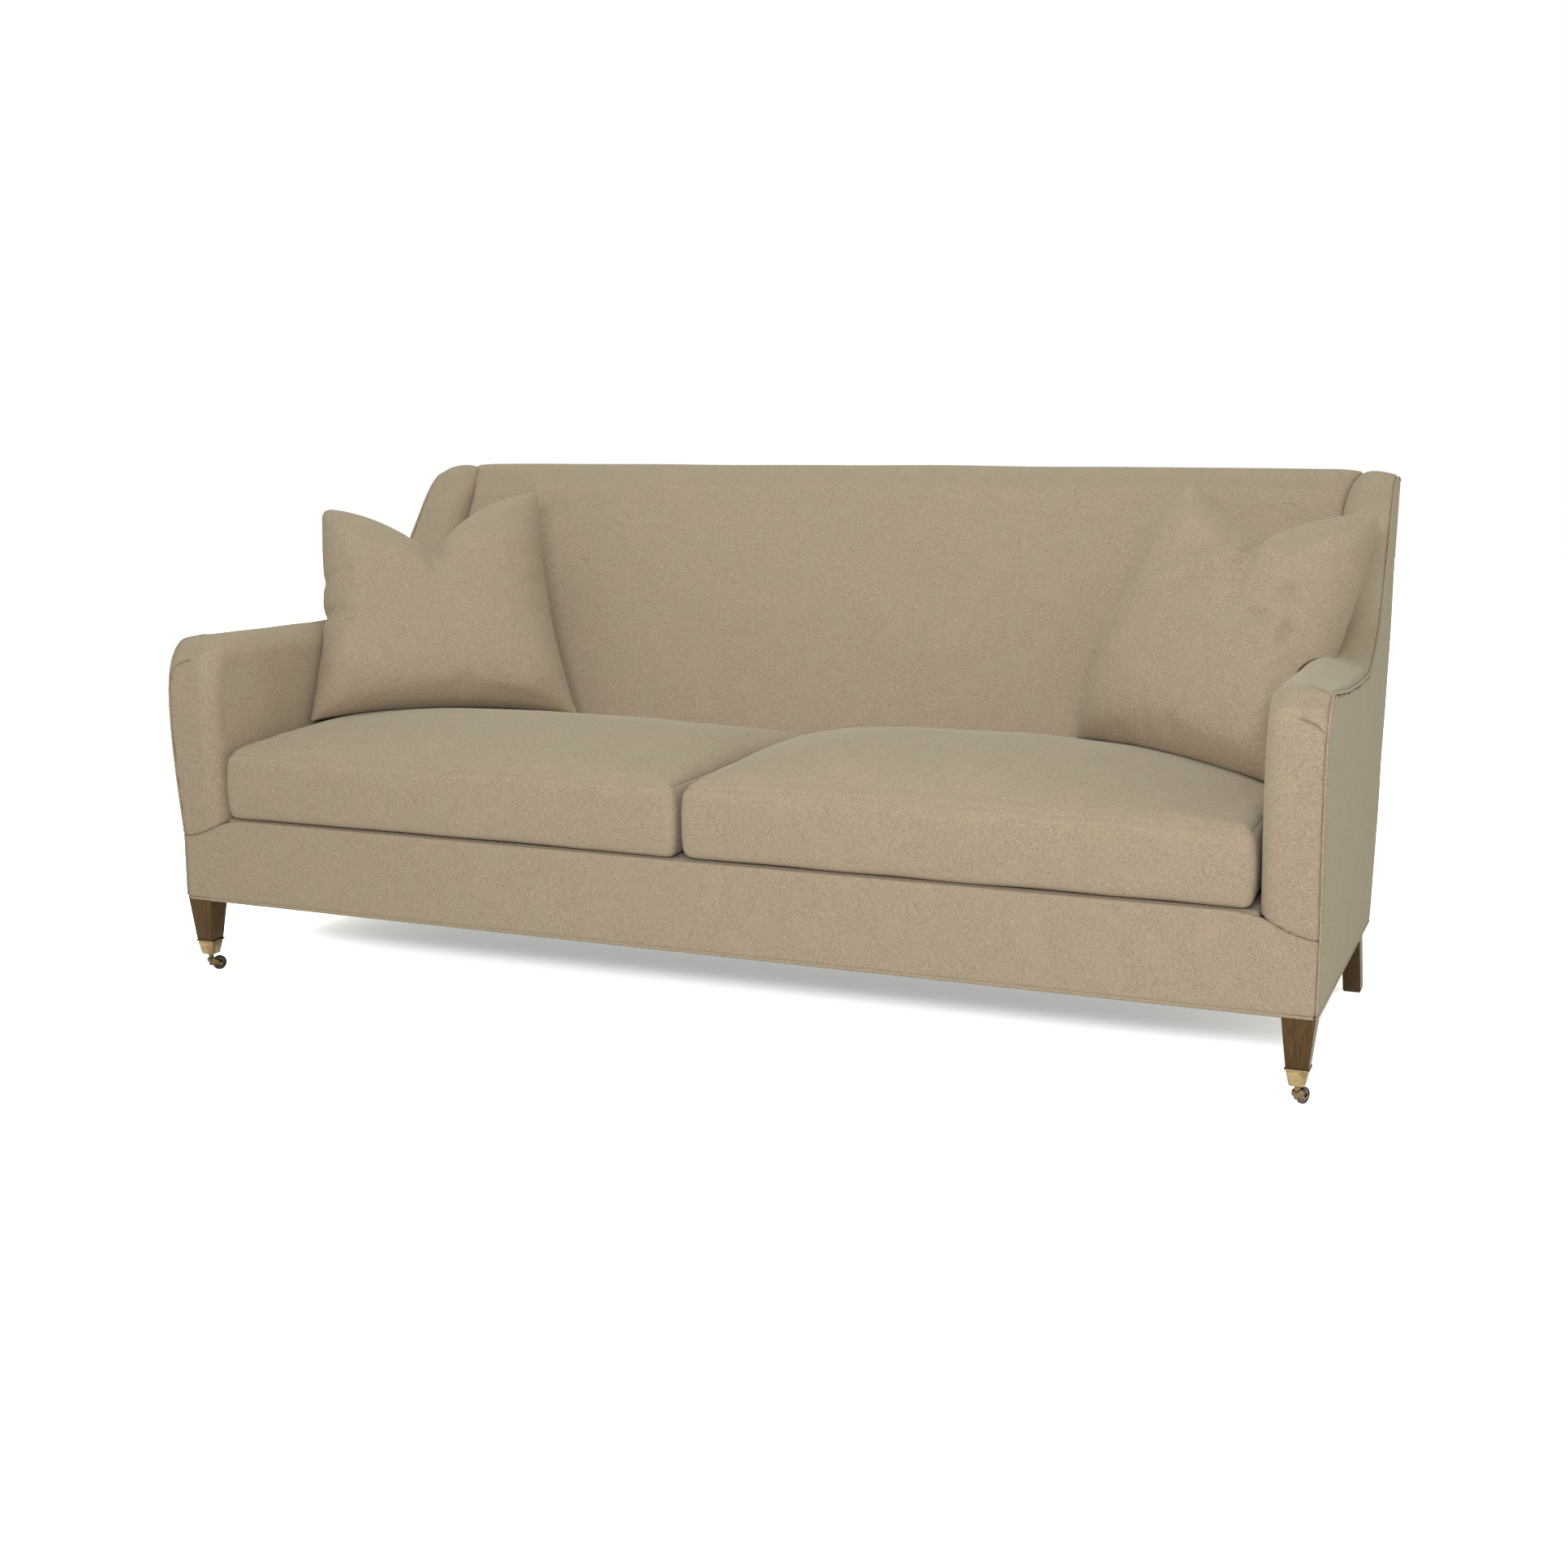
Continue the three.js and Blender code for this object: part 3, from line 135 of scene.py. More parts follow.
def ripple(x: np.ndarray, y: np.ndarray, z: np.ndarray, length: float, seed: int) -> np.ndarray:
    """A smooth unevenness between about -1 and 1.

    Args:
        x: Places across the sofa.
        y: Places along its depth.
        z: Heights.
        length: The rough length of a wave.
        seed: Chooses one of many like patterns.

    Returns:
        The unevenness at each place.
    """
    draw = np.random.default_rng(seed)
    total = 0.0
    for _ in range(6):
        ahead = draw.normal(size=3)
        ahead *= draw.uniform(0.6, 1.5) / np.linalg.norm(ahead)
        turn = 2 * math.pi / length
        total = total + np.sin(turn * (ahead[0] * x + ahead[1] * y + ahead[2] * z) + draw.uniform(0, 6.3))
    return total / 3


class Outline:
    """A closed outline in depth and height, and the distances to it."""

    def __init__(self, points: Iterable[Sequence[float]]) -> None:
        """Keeps the outline's points.

        Args:
            points: The corners in order, the last joined to the first.
        """
        self.points = np.array([tuple(p) for p in points], float)

    def measure(self, depth: np.ndarray, height: np.ndarray) -> tuple[np.ndarray, np.ndarray]:
        """Finds how far places lie from the outline.

        Args:
            depth: Depths of the places.
            height: Their heights.

        Returns:
            The distances, negative inside, and the depth of the nearest point of the outline.
        """
        shape = np.broadcast(depth, height).shape
        places = np.stack([np.broadcast_to(a, shape).ravel() for a in (depth, height)], axis=1)
        start = self.points
        end = np.roll(start, -1, axis=0)
        run = end - start
        away = np.empty(len(places))
        nearest = np.empty(len(places))
        batch = 16000
        for first in range(0, len(places), batch):
            p = places[first:first + batch, None]
            share = np.clip(((p - start) * run).sum(2) / (run**2).sum(1), 0, 1)
            foot = start + share[..., None] * run
            gaps = np.hypot(p[..., 0] - foot[..., 0], p[..., 1] - foot[..., 1])
            best = gaps.argmin(1)
            rows = np.arange(len(best))
            spans = (start[:, 1] > p[..., 1]) != (end[:, 1] > p[..., 1])
            slope = np.where(run[:, 1] == 0, 1.0, run[:, 1])
            meets = start[:, 0] + run[:, 0] * (p[..., 1] - start[:, 1]) / slope
            inside = (spans & (p[..., 0] < meets)).sum(1) % 2 == 1
            away[first:first + batch] = np.where(inside, -gaps[rows, best], gaps[rows, best])
            nearest[first:first + batch] = foot[rows, best, 0]
        return away.reshape(shape), nearest.reshape(shape)


def settle(points: np.ndarray, form: Form, reach: float, rounds: int = 3) -> np.ndarray:
    """Moves points onto the skin of a form.

    Args:
        points: The points, one a row.
        form: Gives distances to the form.
        reach: The furthest that a point may move in one round.
        rounds: How often to repeat it.

    Returns:
        The moved points.
    """
    probe = 0.3 * MM
    for _ in range(rounds):
        x, y, z = points.T
        here = form(x, y, z)
        slope = np.stack([
            form(x + probe, y, z) - here,
            form(x, y + probe, z) - here,
            form(x, y, z + probe) - here,
        ], axis=1) / probe
        step = slope * (here / np.maximum((slope**2).sum(1), 0.2))[:, None]
        length = np.linalg.norm(step, axis=1)
        step *= np.minimum(1.0, reach / np.maximum(length, 1e-9))[:, None]
        points = points - step
    return points


def cleared(points: np.ndarray, forms: Iterable[Form], gap: float) -> np.ndarray:
    """Moves points out of the forms beside them.

    Args:
        points: The points, one a row.
        forms: Each gives distances to a neighbour.
        gap: How far from a neighbour they end up at least.

    Returns:
        The moved points.
    """
    points = points.copy()
    for form in forms:
        inside = form(*points.T) < gap
        if inside.any():
            points[inside] = settle(points[inside], lambda x, y, z: form(x, y, z) - gap, 20 * MM, 5)
    return points


def skinned(form: Form, low: Sequence[float], high: Sequence[float],
            cell: float | Sequence[float]) -> tuple[np.ndarray, np.ndarray]:
    """Covers a form with an even net of four-sided faces.

    Args:
        form: Gives distances to the form, negative inside.
        low: The lowest corner of a box that holds it.
        high: The box's highest corner.
        cell: The size of a face, or its sizes along X, Y and Z.

    Returns:
        The net's points and its faces, which wind outwards.
    """
    cells = np.broadcast_to(cell, 3)
    axes = [np.arange(a - 2.5 * c, b + 2.5 * c, c) for a, b, c in zip(low, high, cells)]
    grid = np.meshgrid(*axes, indexing="ij", sparse=True)
    size = [len(a) for a in axes]
    values = np.broadcast_to(form(*grid), size)
    inside = values < 0
    origin = np.array([a[0] for a in axes])
    strides = np.array([size[1] * size[2], size[2], 1])
    crossings, owners, faces = [], [], []
    for axis in range(3):
        near = tuple(slice(0, -1) if a == axis else slice(None) for a in range(3))
        far = tuple(slice(1, None) if a == axis else slice(None) for a in range(3))
        at = np.argwhere(inside[near] != inside[far])
        low_value = values[near][tuple(at.T)]
        high_value = values[far][tuple(at.T)]
        place = at.astype(float)
        place[:, axis] += low_value / (low_value - high_value)
        home = at @ strides
        side, up = strides[(axis + 1) % 3], strides[(axis + 2) % 3]
        around = np.stack([home, home - side, home - side - up, home - up], axis=1)
        starts_inside = inside[near][tuple(at.T)]
        faces.append(np.where(starts_inside[:, None], around, around[:, ::-1]))
        owners.append(around.T.ravel())
        crossings.append(np.tile(place, (4, 1)))
    owned, index = np.unique(np.concatenate(owners), return_inverse=True)
    crossings = np.concatenate(crossings)
    count = np.bincount(index)
    points = np.stack([np.bincount(index, crossings[:, a]) / count for a in range(3)], axis=1)
    points = settle(origin + points * cells, form, cells.min() * 0.6)
    return points, np.searchsorted(owned, np.concatenate(faces))


def mesh_object(name: str, points: np.ndarray, faces: Iterable[Sequence[int]],
                sharp: float = 0.0) -> bpy.types.Object:
    """Makes a smooth mesh object in the scene.

    Args:
        name: The object's name.
        points: Its points, one a row.
        faces: The point numbers of each face.
        sharp: The least angle of an edge that stays sharp, in degrees, or 0 to smooth them all.

    Returns:
        The object.
    """
    mesh = bpy.data.meshes.new(name)
    mesh.from_pydata(np.asarray(points).tolist(), [], [list(map(int, face)) for face in faces])
    mesh.update()
    mesh.shade_smooth()
    if sharp:
        mesh.set_sharp_from_angle(angle=math.radians(sharp))
    made = bpy.data.objects.new(name, mesh)
    bpy.context.scene.collection.objects.link(made)
    return made


def mirrored(points: np.ndarray, faces: np.ndarray) -> tuple[np.ndarray, np.ndarray]:
    """The mirror image of a net across the middle of the sofa."""
    return points * np.array([-1.0, 1.0, 1.0]), faces[:, ::-1]


def points_of(thing: bpy.types.Object, what: str = "co") -> np.ndarray:
    """The points of an object's mesh, or another value of theirs, one a row."""
    flat = np.empty(len(thing.data.vertices) * 3)
    thing.data.vertices.foreach_get(what, flat)
    return flat.reshape(-1, 3)


def set_points(thing: bpy.types.Object, points: np.ndarray) -> None:
    """Moves the points of an object's mesh."""
    thing.data.vertices.foreach_set("co", points.ravel())
    thing.data.update()


def apply_modifiers(thing: bpy.types.Object) -> None:
    """Keeps the shape that an object's modifiers give, and removes them."""
    depsgraph = bpy.context.evaluated_depsgraph_get()
    mesh = bpy.data.meshes.new_from_object(thing.evaluated_get(depsgraph))
    thing.modifiers.clear()
    old = thing.data
    thing.data = mesh
    bpy.data.meshes.remove(old)
    mesh.name = thing.name


def subdivided(thing: bpy.types.Object) -> None:
    """Adds one smooth subdivision to an object's mesh."""
    smooth = thing.modifiers.new("smooth", "SUBSURF")
    smooth.levels = smooth.render_levels = 1
    apply_modifiers(thing)


def refined(thing: bpy.types.Object, wanted: Callable[[np.ndarray], np.ndarray], rounds: int = 2) -> None:
    """Splits the faces round a fine detail.

    Args:
        thing: The piece.
        wanted: Says of each of some points whether it lies near the detail.
        rounds: How often the faces there are split.
    """
    net = bmesh.new()
    net.from_mesh(thing.data)
    for _ in range(rounds):
        net.verts.index_update()
        near = wanted(np.array([point.co[:] for point in net.verts]))
        edges = [e for e in net.edges if near[e.verts[0].index] and near[e.verts[1].index]]
        bmesh.ops.subdivide_edges(net, edges=edges, cuts=1, use_grid_fill=True)
    net.to_mesh(thing.data)
    net.free()
    thing.data.shade_smooth()


def pressed(thing: bpy.types.Object, depth_at: Callable[[np.ndarray], np.ndarray]) -> None:
    """Presses the skin of a piece in along its normals.

    Args:
        thing: The piece.
        depth_at: Gives how deep each of some points goes, or less than 0 to raise it.
    """
    points = points_of(thing)
    set_points(thing, points - points_of(thing, "normal") * depth_at(points)[:, None])


def tube(points: np.ndarray, radius: float | np.ndarray, sides: int = 10,
         closed: bool = False) -> tuple[np.ndarray, list[list[int]]]:
    """A round cord along a line.

    Args:
        points: The line's points, one a row.
        radius: Its radius, or one for each point.
        sides: How many sides it has.
        closed: Whether the line is a loop.

    Returns:
        The points and faces of its net.
    """
    ahead = np.roll(points, -1, axis=0) - np.roll(points, 1, axis=0)
    if not closed:
        ahead[0] = points[1] - points[0]
        ahead[-1] = points[-1] - points[-2]
    ahead /= np.linalg.norm(ahead, axis=1)[:, None]
    across = np.cross(ahead[0], (0.0, 0.0, 1.0) if abs(ahead[0][2]) < 0.9 else (1.0, 0.0, 0.0))
    turns = np.linspace(0, 2 * math.pi, sides, endpoint=False)
    radii = np.broadcast_to(radius, len(points))
    rings = []
    for place, forward, wide in zip(points, ahead, radii):
        across = across - forward * across.dot(forward)
        across /= np.linalg.norm(across)
        up = np.cross(forward, across)
        rings.append(place + wide * (np.cos(turns)[:, None] * across + np.sin(turns)[:, None] * up))
    return loft(rings, closed)


def loft(rings: Sequence[np.ndarray], closed: bool = False) -> tuple[np.ndarray, list[list[int]]]:
    """Joins rings of points, each with as many, into a skin.

    Args:
        rings: The rings, in order.
        closed: Whether the last ring joins the first. Otherwise both ends are capped.

    Returns:
        The points and faces of the skin.
    """
    sides = len(rings[0])
    faces = []
    for i in range(len(rings) if closed else len(rings) - 1):
        j = (i + 1) % len(rings)
        faces += [[i * sides + k, i * sides + (k + 1) % sides, j * sides + (k + 1) % sides, j * sides + k]
                  for k in range(sides)]
    if not closed:
        faces.append(list(range(sides))[::-1])
        faces.append([(len(rings) - 1) * sides + k for k in range(sides)])
    return np.concatenate(rings), faces


def boxed_ring(centre: Sequence[float], size: Sequence[float], height: float, corner: float) -> np.ndarray:
    """A level rectangular ring of points with round corners.

    Args:
        centre: The X and Y of its middle.
        size: Its sizes along X and Y.
        height: Its height above the floor.
        corner: The radius of its corners.

    Returns:
        The points, one a row.
    """
    corner = min(corner, size[0] / 2, size[1] / 2)
    reach = (size[0] / 2 - corner, size[1] / 2 - corner)
    quarter = np.linspace(0, math.pi / 2, 4)
    points = []
    for turn, (sx, sy) in enumerate(((1, 1), (-1, 1), (-1, -1), (1, -1))):
        for angle in quarter + turn * math.pi / 2:
            points.append((centre[0] + sx * reach[0] + corner * math.cos(angle),
                           centre[1] + sy * reach[1] + corner * math.sin(angle), height))
    return np.array(points)


def turned(profile: Sequence[tuple[float, float]], sides: int) -> tuple[np.ndarray, list[list[int]]]:
    """Turns a closed profile round the X axis.

    Args:
        profile: Radii and places along the axis.
        sides: How many sides the turned form has.

    Returns:
        The points and faces of its skin.
    """
    angles = np.linspace(0, 2 * math.pi, sides, endpoint=False)
    rings = [np.stack([np.full(sides, along), radius * np.cos(angles), radius * np.sin(angles)], axis=1)
             for radius, along in profile]
    return loft(rings, closed=True)


# Finishes


class Graph:
    """The nodes of one material."""

    def __init__(self, name: str) -> None:
        """Starts a material.

        Args:
            name: The material's name.
        """
        self.material = bpy.data.materials.new(name)
        self.material.use_nodes = True
        self.tree = self.material.node_tree
        self.shader = self.tree.nodes["Principled BSDF"]
        places = self.tree.nodes.new("ShaderNodeTexCoord")
        self.place = places.outputs["Object"]
        self.normal = places.outputs["Normal"]

    def add(self, kind: str, inputs: dict[str | int, object], **settings: object) -> bpy.types.Node:
        """Adds a node.

        Args:
            kind: The node's type, without its ShaderNode prefix.
            inputs: A value or a socket for each input that isn't left alone.
            settings: The node's own properties.

        Returns:
            The node.
        """
        node = self.tree.nodes.new(f"ShaderNode{kind}")
        for key, value in settings.items():
            setattr(node, key, value)
        for key, value in inputs.items():
            self.feed(node.inputs[key], value)
        return node

    def feed(self, socket: bpy.types.NodeSocket, value: object) -> None:
        """Links a socket to another, or sets its value."""
        if isinstance(value, bpy.types.NodeSocket):
            self.tree.links.new(value, socket)
        else:
            socket.default_value = value

    def scaled(self, vector: bpy.types.NodeSocket, factors: Sequence[float]) -> bpy.types.NodeSocket:
        """A vector times one factor for each axis."""
        return self.add("VectorMath", {0: vector, 1: tuple(factors)}, operation="MULTIPLY").outputs[0]

    def noise(self, vector: bpy.types.NodeSocket, scale: float, detail: float = 2.0,
              roughness: float = 0.5) -> bpy.types.NodeSocket:
        """Soft random values from 0 to 1, with about this many waves to the metre."""
        inputs = {"Vector": vector, "Scale": scale, "Detail": detail, "Roughness": roughness}
        return self.add("TexNoise", inputs).outputs["Fac"]

    def spread(self, value: bpy.types.NodeSocket, low: float, high: float, start: float = 0.0,
               end: float = 1.0) -> bpy.types.NodeSocket:
        """Maps values between low and high to start and end, smoothly and held at the ends."""
        inputs = {"Value": value, "From Min": low, "From Max": high, "To Min": start, "To Max": end}
        return self.add("MapRange", inputs, interpolation_type="SMOOTHSTEP").outputs["Result"]

    def maths(self, operation: str, first: object, second: object = 0.0) -> bpy.types.NodeSocket:
        """The result of a sum on two values."""
        return self.add("Math", {0: first, 1: second}, operation=operation).outputs[0]

    def mix(self, share: object, first: object, second: object, way: str = "MIX") -> bpy.types.NodeSocket:
        """Two colours mixed by a share."""
        node = self.add("Mix", {0: share}, data_type="RGBA", blend_type=way)
        for socket, value in ((node.inputs[6], first), (node.inputs[7], second)):
            self.feed(socket, (*value, 1.0) if isinstance(value, tuple) else value)
        return node.outputs[2]

    def bump(self, height: bpy.types.NodeSocket, distance: float, strength: float = 1.0) -> None:
        """Raises the surface by a height, given in metres at a height of 1."""
        inputs = {"Height": height, "Distance": distance, "Strength": strength}
        self.feed(self.shader.inputs["Normal"], self.add("Bump", inputs).outputs[0])

    def finish(self, colour: object, roughness: object, **constants: object) -> bpy.types.Material:
        """Sets the shader and hands the material over.

        Args:
            colour: The base colour, or its socket.
            roughness: The roughness, or its socket.
            constants: Values for the shader's other sockets, with _ for a space in their names.

        Returns:
            The material.
        """
        self.feed(self.shader.inputs["Base Color"], (*colour, 1.0) if isinstance(colour, tuple) else colour)
        self.feed(self.shader.inputs["Roughness"], roughness)
        for key, value in constants.items():
            self.shader.inputs[key.replace("_", " ")].default_value = value
        return self.material


@dataclass(frozen=True)
class LinenTweed:
    """The cover cloth: a plain weave of heathered oatmeal yarns, with soft pink and grey-green patches."""

    slot: str = "linen_tweed"
    yarn: Colour = (0.437, 0.344, 0.245)
    dark_yarn: Colour = (0.305, 0.236, 0.162)
    light_yarn: Colour = (0.570, 0.466, 0.346)
    warm_patch: Colour = (0.465, 0.345, 0.247)
    cool_patch: Colour = (0.405, 0.345, 0.232)
    yarns_per_metre: float = 980.0
    weave_relief: float = 0.30 * MM

    def material(self) -> bpy.types.Material:
        """The finish as a material."""
        g = Graph("linen_tweed_cloth")
        axes = g.add("SeparateXYZ", {0: g.place}).outputs
        facing = g.add("SeparateXYZ", {0: g.normal}).outputs[2]
        level = g.spread(g.maths("ABSOLUTE", facing), 0.6, 0.8)
        laid = g.add("CombineXYZ", {0: axes[0], 1: axes[2], 2: axes[1]}).outputs[0]
        cloth = g.add("Mix", {0: level, 4: g.place, 5: laid}, data_type="VECTOR").outputs[1]
        fine = self.yarns_per_metre
        weft = g.noise(g.scaled(cloth, (fine / 5, fine / 5, fine)), 1.0, 1.5, 0.6)
        warp = g.noise(g.scaled(cloth, (fine, fine, fine / 5)), 1.0, 1.5, 0.6)
        fibre = g.noise(g.place, fine * 0.62, 3.0, 0.7)
        slubs = g.noise(g.scaled(cloth, (fine / 7, fine / 7, fine / 2)), 1.0, 1.0)
        heather = g.maths("MULTIPLY", g.maths("ADD", weft, warp), 0.5)
        colour = g.mix(g.spread(heather, 0.38, 0.56), self.dark_yarn, self.yarn)
        colour = g.mix(g.spread(fibre, 0.53, 0.70, 0.0, 0.75), colour, self.light_yarn)
        colour = g.mix(g.spread(fibre, 0.44, 0.30, 0.0, 0.6), colour, self.dark_yarn)
        colour = g.mix(g.spread(slubs, 0.60, 0.78, 0.0, 0.6), colour, self.light_yarn)
        patches = g.noise(g.place, 16.0, 3.0, 0.55)
        colour = g.mix(g.spread(patches, 0.50, 0.64, 0.0, 0.30), colour, self.warm_patch)
        colour = g.mix(g.spread(patches, 0.50, 0.37, 0.0, 0.30), colour, self.cool_patch)
        g.bump(g.maths("ADD", heather, g.maths("MULTIPLY", slubs, 0.5)), self.weave_relief)
        return g.finish(colour, 0.93, Sheen_Weight=0.16, Sheen_Roughness=0.45,
                        Sheen_Tint=(0.90, 0.98, 0.90, 1.0), Specular_IOR_Level=0.2)


@dataclass(frozen=True)
class Thread:
    """The sewing thread of the double topstitching, a shade lighter than the cloth."""

    slot: str = "linen_tweed"
    colour: Colour = (0.52, 0.42, 0.30)

    def material(self) -> bpy.types.Material:
        """The finish as a material."""
        g = Graph("sewing_thread")
        twist = g.noise(g.scaled(g.place, (1600.0, 1600.0, 1600.0)), 1.0)
        g.bump(twist, 0.1 * MM)
        deep = tuple(c * 0.8 for c in self.colour)
        return g.finish(g.mix(g.spread(twist, 0.3, 0.7), deep, self.colour), 0.8)


@dataclass(frozen=True)
class Timber:
    """Wood with its grain along one axis."""

    slot: str
    early: Colour
    late: Colour
    roughness: float
    gloss: float
    grain: Sequence[float]

    def material(self) -> bpy.types.Material:
        """The finish as a material."""
        g = Graph(f"{self.slot}_wood")
        figure = g.noise(g.scaled(g.place, self.grain), 1.0, 4.0, 0.6)
        pores = g.noise(g.scaled(g.place, [a * 7 for a in self.grain]), 1.0, 2.0, 0.7)
        cloud = g.noise(g.place, 22.0, 2.0)
        colour = g.mix(g.spread(figure, 0.34, 0.64), self.late, self.early)
        colour = g.mix(g.spread(pores, 0.56, 0.70, 0.0, 0.6), colour, tuple(c * 0.4 for c in self.late))
        colour = g.mix(g.spread(cloud, 0.45, 0.7, 0.0, 0.35), colour, self.late)
        g.bump(g.maths("SUBTRACT", figure, g.maths("MULTIPLY", pores, 0.6)), 0.15 * MM)
        rough = g.spread(figure, 0.3, 0.7, self.roughness - 0.05, self.roughness + 0.06)
        return g.finish(colour, rough, Specular_IOR_Level=self.gloss)


@dataclass(frozen=True)
class Metal:
    """A cast or drawn metal with patches of patina and fine rub marks."""

    slot: str
    name: str
    bright: Colour
    patina: Colour
    roughness: float
    patches: float = 90.0
    worn: float = 0.5
    marks: Sequence[float] = (90.0, 90.0, 2600.0)
    brushed: float = 0.35

    def material(self) -> bpy.types.Material:
        """The finish as a material."""
        g = Graph(self.name)
        cloud = g.noise(g.place, self.patches, 4.0, 0.65)
        marks = g.noise(g.scaled(g.place, self.marks), 1.0, 2.0)
        tarnish = g.spread(cloud, self.worn - 0.16, self.worn + 0.16)
        colour = g.mix(tarnish, self.bright, self.patina)
        colour = g.mix(g.spread(marks, 0.46, 0.72, 0.0, self.brushed), colour, self.patina)
        rough = g.maths("ADD", g.spread(cloud, 0.3, 0.7, self.roughness - 0.06, self.roughness + 0.12),
                        g.spread(marks, 0.4, 0.7, 0.0, 0.08))
        g.bump(g.maths("ADD", marks, cloud), 0.06 * MM)
        return g.finish(colour, rough, Metallic=1.0)


@dataclass(frozen=True)
class RoughCloth:
    """A plain inner cloth or webbing, with a coarse open texture."""

    slot: str
    colour: Colour
    deep: Colour
    threads: float
    relief: float

    def material(self) -> bpy.types.Material:
        """The finish as a material."""
        g = Graph(f"{self.slot}_cloth")
        one = g.noise(g.scaled(g.place, (self.threads, self.threads, self.threads / 8)), 1.0, 2.0)
        two = g.noise(g.scaled(g.place, (self.threads / 8, self.threads, self.threads)), 1.0, 2.0)
        height = g.maths("MULTIPLY", g.maths("ADD", one, two), 0.5)
        g.bump(height, self.relief)
        return g.finish(g.mix(g.spread(height, 0.38, 0.6), self.deep, self.colour), 0.92)


class Finishes:
    """Every finish of the sofa, each as one material."""

    def __init__(self) -> None:
        """Makes the materials."""
        self.tweed = LinenTweed()
        self.thread = Thread()
        self.walnut = Timber("walnut", (0.118, 0.068, 0.024), (0.064, 0.036, 0.013), 0.50, 0.10,
                             (300.0, 300.0, 18.0))
        self.hardwood = Timber("hardwood_frame", (0.62, 0.43, 0.25), (0.48, 0.31, 0.17), 0.7, 0.3,
                               (18.0, 160.0, 160.0))
        self.brass = Metal("antique_brass", "satin_brass", (0.240, 0.176, 0.082), (0.125, 0.094, 0.048),
                           0.38, patches=45.0, brushed=0.75)
        # A darker copy of the cup's brass for the caster's horn and axle under the cup; the code only gives
        # them darker colours than the cup.
        self.darker_brass = Metal("antique_brass", "darker_brass", (0.150, 0.100, 0.052),
                                (0.055, 0.040, 0.024), 0.30, patches=60.0)
        self.bronze = Metal("dark_bronze", "dark_bronze", (0.075, 0.062, 0.042), (0.026, 0.023, 0.018), 0.42)
        self.steel = Metal("spring_steel", "spring_steel", (0.52, 0.53, 0.55), (0.34, 0.34, 0.36), 0.38)
        self.jute = RoughCloth("jute_webbing", (0.36, 0.28, 0.18), (0.22, 0.16, 0.10), 500.0, 0.5 * MM)
        self.dust = RoughCloth("dust_cloth", (0.030, 0.030, 0.032), (0.016, 0.016, 0.018), 1300.0, 0.15 * MM)
        self._made: dict[object, bpy.types.Material] = {}

    def material(self, finish: object) -> bpy.types.Material:
        """The one material of a finish, made when it's first asked for."""
        if finish not in self._made:
            self._made[finish] = finish.material()
        return self._made[finish]

    def dress(self, thing: bpy.types.Object, finish: object, body: str, *nodes: str) -> bpy.types.Object:
        """Gives a new piece its finish, its body and the nodes that it stands for.

        Args:
            thing: The piece.
            finish: Its finish.
            body: The body that it rides on.
            nodes: The frame's nodes that it replaces.

        Returns:
            The piece.
        """
        thing.data.materials.clear()
        thing.data.materials.append(self.material(finish))
        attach(thing, body)
        if nodes:
            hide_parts(*nodes)
        log.info("%s: %d faces", thing.name, len(thing.data.polygons))
        return thing


# The sofa's lines


